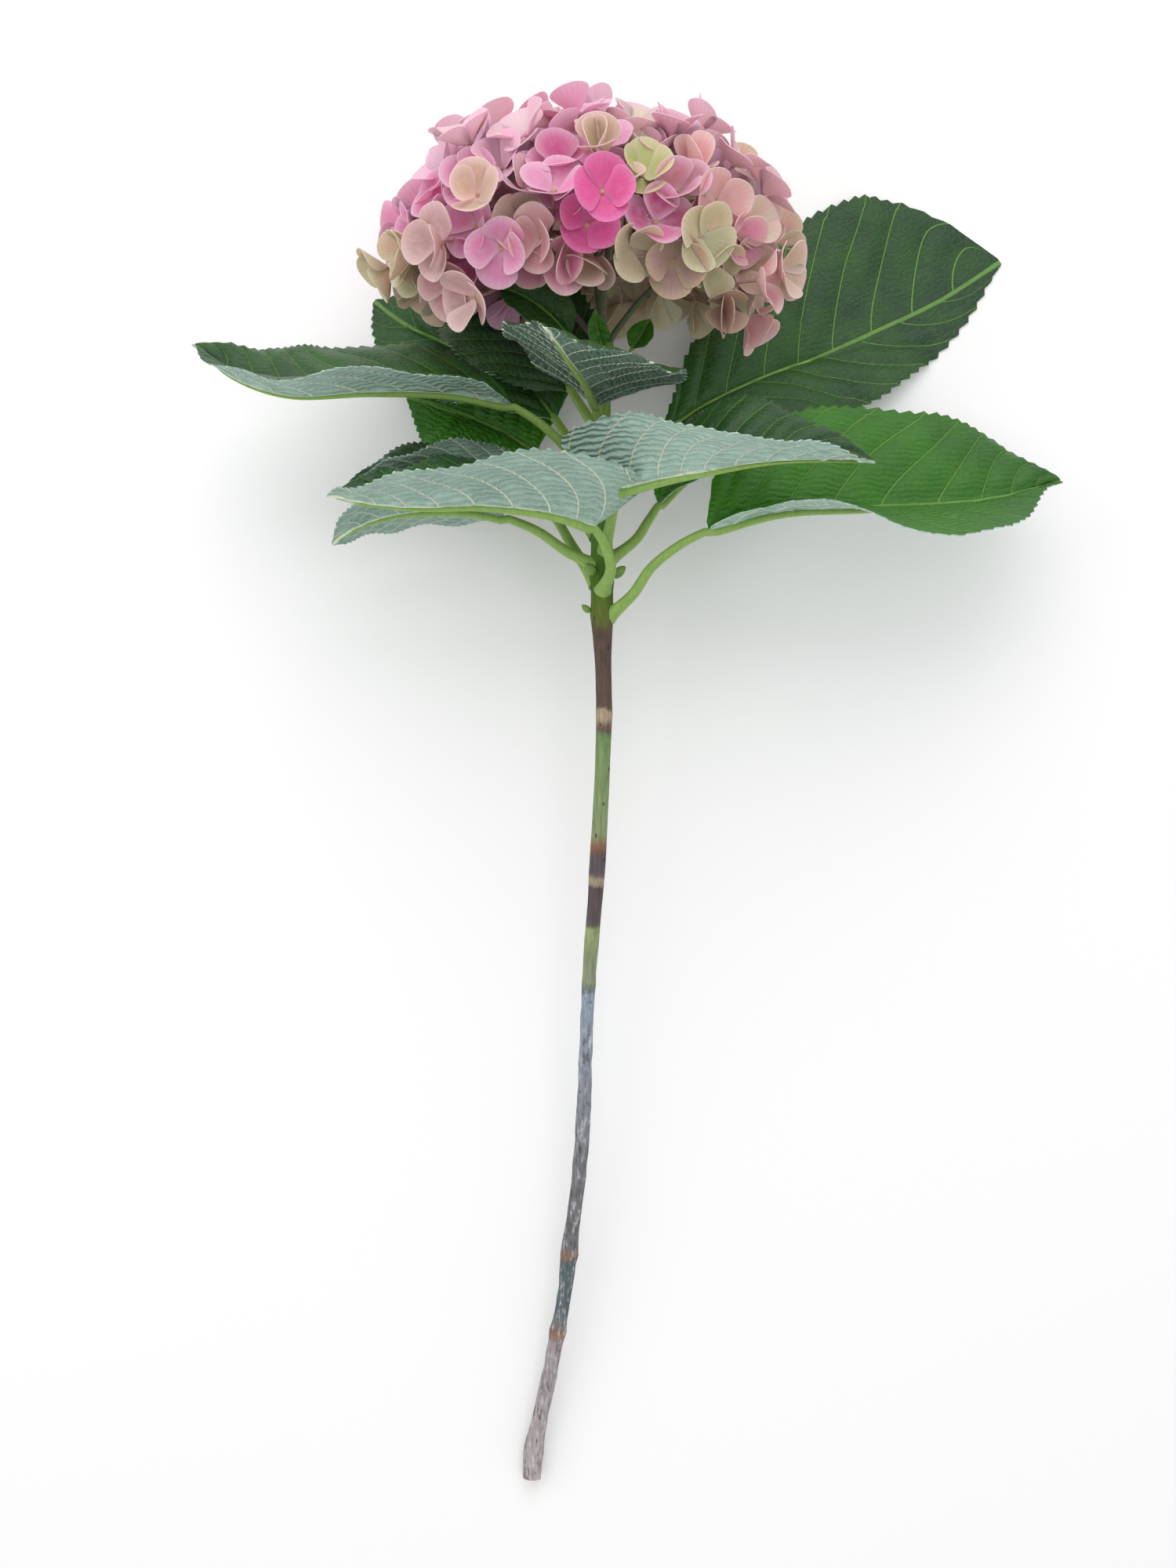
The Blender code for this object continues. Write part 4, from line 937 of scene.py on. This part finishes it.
def make_leaf(name, leaf, materials, sizes, seed):
    """One leaf: veined blade, and its stalk that runs on below the blade as the midrib."""
    young = name.startswith("young")
    deselect()
    bpy.ops.mesh.primitive_grid_add(x_subdivisions=YOUNG_COLUMNS if young else BLADE_COLUMNS,
                                    y_subdivisions=YOUNG_ROWS if young else BLADE_ROWS, size=2)
    blade = bpy.context.object
    mesh = blade.data
    flat = coordinates(mesh)
    moved, ribs, distances = shape_blade(leaf, flat, sizes, seed)
    move_points(mesh, moved)
    store(mesh, "rib", ribs)
    store(mesh, "midrib_distance", distances)
    base, tip, under = LEAF_TONES[name]
    # Tones that mix each side's dark and bright colours: painted light and shade, on the upper side
    # partly the leaf's own green too, running from base to tip.
    store(mesh, "upper_tone", base + (tip - base) * (flat[:, 1] + 1) / 2)
    store(mesh, "under_tone", np.full(len(flat), under))
    mesh.materials.append(materials["upper"])
    mesh.materials.append(materials["under"])
    lay_down(blade, 0.0006)
    thicken(blade, sizes.leaf_thickness)

    scale = YOUNG_STALK_SCALE if young else 1
    thick, thin = (radius * scale for radius in PETIOLE_RADIUS)
    s, angle = leaf["node"]
    axis, stem_radius = stem_at(s)
    seat = axis + outward_at(angle) * (stem_radius * 0.55)
    stalk = smooth_route([seat] + leaf["stalk"] + [leaf["midrib"][0]], STALK_STEPS)
    rib = smooth_route(leaf["midrib"], RIB_STEPS)
    up_base, up_tip = (Vector(u).normalized() for u in leaf["up"])
    stalk_radii = [thick + (thin - thick) * i / STALK_STEPS
                   + scale * STALK_FLARE[0] * math.exp(-i / STALK_FLARE[1]) for i in range(STALK_STEPS)]
    rib_radii = [thin * 0.93 * (1 - i / RIB_STEPS) ** 1.1 + 0.16 for i in range(RIB_STEPS + 1)]
    # The midrib lies under the blade, half sunk in it, and ends just before its tip.
    sunk = [p - up_base.lerp(up_tip, i / RIB_STEPS) * (0.55 * r + 0.9) * scale
            for i, (p, r) in enumerate(zip(rib, rib_radii))]
    route = stalk[:-1] + sunk[1:RIB_STEPS - 1]
    radii = stalk_radii + rib_radii[1:RIB_STEPS - 1]
    rod = bend_rod(name + "_stalk", route, radii, LEAF_STALK_SIDES, materials["stalk"], up_base,
                   MIDRIB_GROOVE)
    lay_down(rod)
    piece = join(name + "_veined", [blade, rod])
    finish_piece(piece, name)


def leaf_materials(colours):
    return {
        "upper": leaf_material("glossy hydrangea leaf", "upper_tone",
                               (colours.leaf_dark, colours.leaf_bright_and_lit, colours.leaf_vein),
                               roughness=0.42, vein_height=-1.2, rib_width=0.025, net_strength=0.2,
                               pucker_and_shade=0.06),
        "under": leaf_material("matt leaf underside", "under_tone",
                               (colours.leaf_under_dark, colours.leaf_under, colours.leaf_under_vein),
                               roughness=0.5, vein_height=1.6, rib_width=0.04, net_strength=0.34,
                               pucker_and_shade=0.15),
        "stalk": stalk_material("waxy leaf stalk", colours.leaf_stalk)}


class HYDRANGEA_OT_leaves(bpy.types.Operator):
    """Model the twelve large leaves and three young ones with teeth, quilting and stalks"""
    bl_idname = "hydrangea.leaves"
    bl_label = "Leaves"

    def execute(self, context):
        materials = leaf_materials(context.scene.hydrangea_colours)
        for number, (name, leaf) in enumerate(LEAVES.items()):
            make_leaf(name, leaf, materials, context.scene.hydrangea_sizes, LEAF_SEED * number)
        return {"FINISHED"}


# ------------------------------------------------------------------ buds and branches
def tint_piece(obj, colour):
    store(obj.data, "tint", [tuple(colour)] * len(obj.data.vertices))


class HYDRANGEA_OT_side_buds(bpy.types.Operator):
    """Model the side buds, each a pointed bud wrapped in two scales"""
    bl_idname = "hydrangea.side_buds"
    bl_label = "Side buds"

    def execute(self, context):
        material = stalk_material("green bud", linear("#6f9440"))
        for name, (s, angle, length, radius) in BUDS.items():
            outward = outward_at(angle)
            direction = (outward + Vector((0, 0.8, 0))).normalized()
            axis, stem_radius = stem_at(s)
            seat = axis + outward * (stem_radius + radius * 0.4)
            parts = []
            for turn, scale, reach in ((0, 1.0, 1.0), (0.5, 0.82, 0.72), (-0.5, 0.78, 0.62)):
                lean = direction + direction.cross(outward).normalized() * turn * 0.35
                route = [seat + lean.normalized() * length * reach * i / 9 for i in range(10)]
                swell = [math.sin(math.pi * min(1, 0.16 + 0.84 * i / 9)) ** 0.8 for i in range(10)]
                radii = [radius * scale * (0.35 + 1.5 * part) * 0.62 for part in swell]
                parts.append(bend_rod(name, route, radii, BRANCH_SIDES, material,
                                      outward.cross(direction)))
            bud = join(name + "_scaled", parts)
            lay_down(bud)
            finish_piece(bud, name)
        return {"FINISHED"}


class HYDRANGEA_OT_branches(bpy.types.Operator):
    """Model the five branches that carry the flower head"""
    bl_idname = "hydrangea.branches"
    bl_label = "Flower branches"

    def execute(self, context):
        material = tinted_stalk_material()
        for name, points in BRANCHES.items():
            # It starts inside the stem, 4 mm before its first point.
            route = smooth_route([Vector(points[0]) - Vector((0, 4, 0))] + points, BRANCH_STEPS)
            start, end = BRANCH_RADIUS
            radii = [start + (end - start) * i / BRANCH_STEPS
                     + BRANCH_FLARE[0] * math.exp(-i / BRANCH_FLARE[1]) for i in range(BRANCH_STEPS + 1)]
            branch = bend_rod(name + "_rounded", route, radii, BRANCH_SIDES, material, (0.3, 0, 1))
            tint_piece(branch, linear(BRANCH_COLOURS[name]))
            lay_down(branch)
            finish_piece(branch, name)
        return {"FINISHED"}


# ------------------------------------------------------------------ florets
def read_florets(points, neighbours):
    """Centre, way it faces and notch direction of each floret plate in a cluster (plant's frame)."""
    florets = []
    for centre, ring in zip(points, neighbours):
        spokes = np.array([points[i] - centre for i in ring])
        if len(spokes) < PLATE_POINTS - 2:
            continue
        lengths = np.linalg.norm(spokes, axis=1)
        spokes = spokes[(lengths > PLATE_INNER) & (lengths < PLATE_REACH * 1.08)]
        if len(spokes) < PLATE_POINTS - 2:
            continue
        lengths = np.linalg.norm(spokes, axis=1)
        notch = lengths < PLATE_NOTCH
        if not 3 <= notch.sum() <= 5:
            continue
        heights = np.where(notch, PLATE_CUP * 0.55, PLATE_CUP)
        normal = np.linalg.lstsq(spokes, heights, rcond=None)[0]
        size = np.linalg.norm(normal)
        if not 0.8 < size < 1.25:
            continue
        normal = Vector(normal).normalized()
        towards = Vector(spokes[notch][0])
        towards = (towards - normal * towards.dot(normal)).normalized()
        florets.append((Vector(centre), normal, towards))
    return florets


def read_cluster(node):
    """The florets of a cluster, and where its stalk starts and divides (plant's frame)."""
    work = bmesh.new()
    work.from_mesh(node.data)
    bmesh.ops.remove_doubles(work, verts=work.verts, dist=1e-6)
    work.verts.index_update()
    points = [np.array(TO_PLANT @ v.co) for v in work.verts]
    neighbours = [[e.other_vert(v).index for e in v.link_edges] for v in work.verts]
    work.free()
    florets = read_florets(points, neighbours)
    below = []
    for point in points:
        point = Vector(point)
        near_plate = any((point - centre).length < PLATE_REACH * 1.15
                         and (point - centre).dot(normal) > -4 for centre, normal, _ in florets)
        if not near_plate:
            below.append(point)
    # The stalk starts at the points furthest from the florets, and divides at the others.
    centre = sum((f[0] for f in florets), Vector()) / max(1, len(florets))
    below.sort(key=lambda p: -(p - centre).length)
    foot = sum(below[:5], Vector()) / 5
    rest = [p for p in below if (p - foot).length > 4] or below[-5:]
    hub = sum(rest, Vector()) / len(rest)
    return florets, foot, hub


def fill_dome(taken, rng):
    """Florets that close the gaps between those already there, in layers from the outside in."""
    lowest = math.cos(math.radians(HEAD_OPENING))
    golden = math.pi * (3 - math.sqrt(5))
    added = []
    for layer, room, closed in FILL_LAYERS:
        centres = [Vector(c) for c in taken] + [a[0] for a in added]
        radii = [radius + layer for radius in HEAD_RADII]
        for i in range(FILL_PLACES):
            theta = math.acos(1 - (1 - lowest) * (i + 0.5) / FILL_PLACES)
            phi = golden * i
            direction = Vector((math.sin(theta) * math.cos(phi), math.cos(theta),
                                math.sin(theta) * math.sin(phi)))
            centre = Vector(HEAD_CENTRE) + Vector([d * r for d, r in zip(direction, radii)])
            if centre.z < BACK_START and centre.y < BACK_RIM:
                continue
            if centre.x < SHOULDER[0] and centre.y > SHOULDER[1]:
                continue
            if min((centre - other).length for other in centres) < room:
                continue
            normal = Vector([d / r for d, r in zip(direction, radii)]).normalized()
            sway = Vector([rng.uniform(-FILL_SWAY, FILL_SWAY) for _ in range(3)])
            normal = (normal + sway).normalized()
            towards = normal.orthogonal().normalized()
            towards.rotate(Matrix.Rotation(rng.uniform(0, math.pi), 3, normal))
            added.append((centre, normal, towards, closed))
            centres.append(centre)
    return added


def sepal_template():
    """A round sheet, modelled once: its points on a disc of radius 1, and its faces."""
    deselect()
    bpy.ops.mesh.primitive_grid_add(x_subdivisions=SEPAL_GRID, y_subdivisions=SEPAL_GRID, size=2)
    square, faces = take_apart(bpy.context.object)
    x, y = square[:, 0], square[:, 1]
    return np.column_stack([x * np.sqrt(1 - y ** 2 / 2), y * np.sqrt(1 - x ** 2 / 2)]), faces


def shape_sepal(disc, radius, raised, rng):
    """One sepal that points along x from the floret's centre, broad, cupped and gently waved."""
    out = (disc[:, 0] + 1) / 2
    side = disc[:, 1]
    reach = radius * rng.uniform(*SEPAL_REACH)
    breadth = radius * rng.uniform(*SEPAL_BREADTH)
    claw = 0.42 + 0.58 * soft_step(out, -0.1, 0.62)
    lift = math.radians(raised)
    curl = rng.uniform(*SEPAL_CURL)
    x = reach * (0.05 + 0.95 * out)
    y = breadth * side * claw
    bowl = rng.uniform(*SEPAL_BOWL) * radius * side ** 2 * claw
    wave = 0.35 * np.sin(np.arctan2(side, disc[:, 0]) * 3 + rng.uniform(0, 6.3)) * (disc ** 2).sum(axis=1)
    height = curl * radius * out ** 2 + bowl + wave
    turned_x = x * math.cos(lift) - height * math.sin(lift)
    turned_z = x * math.sin(lift) + height * math.cos(lift)
    return np.column_stack([turned_x, y, turned_z])


def shape_floret(disc, centre, normal, towards, radius, rng, closed):
    """The points of a floret's four sepals in the plant's frame, one array for each sepal."""
    across = normal.cross(towards).normalized()
    openness = rng.uniform(*OPENNESS) + closed
    sepals = []
    for i in range(4):
        bearing = math.radians(45 + 90 * i + rng.uniform(-6, 6))
        inner = i % 2
        raised = openness + INNER_RAISED * inner + rng.uniform(*SEPAL_SWAY)
        local = shape_sepal(disc, radius, raised, rng)
        twist = math.radians(rng.uniform(3, 11))
        local[:, 2] += local[:, 1] * math.sin(twist) + 0.45 * inner
        along = np.array(towards * math.cos(bearing) + across * math.sin(bearing))
        side = np.array(across * math.cos(bearing) - towards * math.sin(bearing))
        sepals.append(np.array(centre) + local[:, :1] * along + local[:, 1:2] * side
                      + local[:, 2:] * np.array(normal))
    return sepals


def floret_colours(colours, centre, rng):
    """Body and rim colour of a floret by its place on the head, with blurred borders."""
    nearest = min(SEPAL_COLOURS, key=lambda row: (Vector(row[0]) - centre).length + rng.uniform(0, 9))
    body = np.array(getattr(colours, rng.choice(nearest[1].split())))
    rim = np.array(getattr(colours, nearest[2]))
    return body, rim


def make_sepals(name, florets, disc, faces, materials, sizes, colours, rng):
    """The sepals of a cluster's florets in one piece, thickened, each floret of its own tint."""
    points, body_tints, rim_tints = [], [], []
    radius = sizes.floret_radius * 1000
    for centre, normal, towards, closed in florets:
        body, rim = floret_colours(colours, centre, rng)
        for sepal in shape_floret(disc, centre, normal, towards, radius, rng, closed):
            tone = rng.uniform(0.86, 1.1)
            fade = rng.uniform(0, 0.35)
            body_tints += [np.clip((body * (1 - fade) + rim * fade) * tone, 0, 1)] * len(disc)
            rim_tints += [np.clip(rim * rng.uniform(0.93, 1.05), 0, 1)] * len(disc)
            points.append(sepal)
    mesh = mesh_of_copies(name, points, faces)
    store(mesh, "tint", body_tints)
    store(mesh, "rim", rim_tints)
    layer = mesh.uv_layers.new(name="sepal")
    corners = np.empty(len(mesh.loops), int)
    mesh.loops.foreach_get("vertex_index", corners)
    layer.data.foreach_set("uv", (disc[corners % len(disc)] / 2 + 0.5).ravel())
    sepals = place_mesh(name, mesh, materials["face"], materials["back"])
    lay_down(sepals, 0.0004)
    thicken(sepals, sizes.sepal_thickness)
    return sepals


def bud_template():
    """The closed flower in the middle of a floret: a small ball with four petals' seams."""
    deselect()
    bpy.ops.mesh.primitive_uv_sphere_add(segments=8, ring_count=5, radius=1)
    points, faces = take_apart(bpy.context.object)
    bearing = np.arctan2(points[:, 1], points[:, 0])
    seam = 1 - 0.16 * np.abs(np.sin(2 * bearing)) * (1 - np.abs(points[:, 2]))
    points *= seam[:, None]
    points[:, 2] = points[:, 2] * 1.05 + 0.5
    return points, faces


def make_buds(name, florets, template, material, colour, rng):
    """The buds of a cluster's florets in one piece."""
    ball, faces = template
    points = []
    for centre, normal, towards, _ in florets:
        axes = np.array([towards, normal.cross(towards).normalized(), normal])
        points.append(np.array(centre) + ball * rng.uniform(1.0, 1.5) @ axes)
    buds = place_mesh(name, mesh_of_copies(name, points, faces), material)
    tint_piece(buds, colour)
    lay_down(buds)
    return buds


class HYDRANGEA_OT_florets(bpy.types.Operator):
    """Model every cluster of florets: four-sepalled florets with buds, pedicels and a stalk"""
    bl_idname = "hydrangea.florets"
    bl_label = "Florets"

    def execute(self, context):
        sizes = context.scene.hydrangea_sizes
        colours = context.scene.hydrangea_colours
        disc, faces = sepal_template()
        bud = bud_template()
        materials = {"face": sepal_material("hydrangea sepal", False),
                     "back": sepal_material("hydrangea sepal back", True),
                     "stalk": tinted_stalk_material()}
        names = sorted(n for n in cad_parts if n.startswith("floret_cluster_"))
        clusters = {name: read_cluster(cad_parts[name]) for name in names}
        if not names or not all(cluster[0] for cluster in clusters.values()):
            raise RuntimeError("the packed model has a cluster with no florets")
        taken = [floret[0] for cluster in clusters.values() for floret in cluster[0]]
        added = {name: [] for name in names}
        for floret in fill_dome(taken, random.Random("fill")):
            nearest = min(names[:-1], key=lambda name: (clusters[name][2] - floret[0]).length)
            added[nearest].append(floret)
        for name in names:
            rng = random.Random(name)
            florets, foot, hub = clusters[name]
            hanging = name == names[-1]
            opened = [(*floret, HANGING_CLOSED if hanging else rng.choice(CLOSED)) for floret in florets]
            opened += added[name]
            parts = [make_sepals(name, opened, disc, faces, materials, sizes, colours, rng),
                     make_buds(name, opened, bud, materials["stalk"], linear("#cfae8e"), rng)]
            middle = (foot + hub) / 2 + Vector((rng.uniform(-1, 1), 0, rng.uniform(-1, 1)))
            stalk = smooth_route([foot, middle, hub], 8)
            radii = [STALK_RADIUS] * len(stalk)
            rods = [bend_rod(name, stalk, radii, GROUP_STALK_SIDES, materials["stalk"])]
            for centre, normal, _, _ in opened:
                near = centre - normal * 0.35 * (centre - hub).length
                route = smooth_route([hub, (hub + near) / 2, near, centre], 6)
                rods.append(bend_rod(name, route, PEDICEL_RADII, PEDICEL_SIDES, materials["stalk"]))
            for rod in rods:
                tint_piece(rod, linear("#b98a8a"))
                lay_down(rod)
            piece = join(name.replace("cluster", "group"), parts + rods)
            finish_piece(piece, name)
        return {"FINISHED"}


# ------------------------------------------------------------------ stage
class HYDRANGEA_OT_stage(bpy.types.Operator):
    """Lay out the pale floor, soft lights and camera"""
    bl_idname = "hydrangea.stage"
    bl_label = "Stage"

    def execute(self, context):
        deselect()
        bpy.ops.mesh.primitive_plane_add(size=8)
        floor = context.object
        floor.name = "pale_floor"
        # Matt white board: even and dull, so that only the soft shadows show on it.
        material, _ = new_material("matt white board", 0.9, 0.1)
        shader = material.node_tree.nodes["Principled BSDF"]
        shader.inputs["Base Color"].default_value = (*linear("#fbfbfb"), 1)
        floor.data.materials.append(material)

        context.scene.view_settings.view_transform = "Standard"
        world = bpy.data.worlds.new("white studio")
        world.use_nodes = True
        background = world.node_tree.nodes["Background"]
        background.inputs["Color"].default_value = (1, 1, 1, 1)
        background.inputs["Strength"].default_value = SKY_STRENGTH
        context.scene.world = world

        for name, place, size, power in LIGHTS:
            bpy.ops.object.light_add(type="AREA", location=TO_WORLD @ Vector(place))
            light = context.object
            light.name = name
            light.data.size = size
            light.data.energy = power
            target = TO_WORLD @ Vector(LIT_PLACE)
            light.rotation_euler = (target - light.location).to_track_quat("-Z", "Y").to_euler()

        view = bpy.data.cameras.new("camera")
        view.sensor_fit = "VERTICAL"
        view.sensor_height = SENSOR_HEIGHT
        view.lens = FOCAL_LENGTH
        view.clip_start = 0.01
        camera = bpy.data.objects.new("camera", view)
        context.scene.collection.objects.link(camera)
        turn = TO_WORLD.to_3x3().normalized().to_4x4()
        camera.matrix_world = Matrix.Translation(TO_WORLD @ Vector(CAMERA_PLACE)) @ turn
        context.scene.camera = camera
        return {"FINISHED"}


# ------------------------------------------------------------------ panel and run
class HYDRANGEA_PT_panel(bpy.types.Panel):
    """Sizes, colours and pieces of the cut hydrangea"""
    bl_idname = "HYDRANGEA_PT_panel"
    bl_label = "Cut hydrangea"
    bl_space_type = "VIEW_3D"
    bl_region_type = "UI"
    bl_category = "Hydrangea"

    def draw(self, context):
        for group in (context.scene.hydrangea_sizes, context.scene.hydrangea_colours):
            box = self.layout.box()
            for name in group.__annotations__:
                box.prop(group, name)
        for operator in OPERATORS:
            self.layout.operator(operator.bl_idname)


OPERATORS = (HYDRANGEA_OT_stem, HYDRANGEA_OT_leaves, HYDRANGEA_OT_side_buds, HYDRANGEA_OT_branches,
             HYDRANGEA_OT_florets, HYDRANGEA_OT_stage)
CLASSES = (HydrangeaSizes, HydrangeaColours, *OPERATORS, HYDRANGEA_PT_panel)


def register():
    for cls in CLASSES:
        bpy.utils.register_class(cls)
    bpy.types.Scene.hydrangea_sizes = PointerProperty(type=HydrangeaSizes)
    bpy.types.Scene.hydrangea_colours = PointerProperty(type=HydrangeaColours)


def unregister():
    del bpy.types.Scene.hydrangea_colours
    del bpy.types.Scene.hydrangea_sizes
    for cls in reversed(CLASSES):
        bpy.utils.unregister_class(cls)


def main():
    register()
    bpy.ops.hydrangea.stem()
    bpy.ops.hydrangea.leaves()
    bpy.ops.hydrangea.side_buds()
    bpy.ops.hydrangea.branches()
    bpy.ops.hydrangea.florets()
    bpy.ops.hydrangea.stage()


if __name__ == "__main__":
    main()
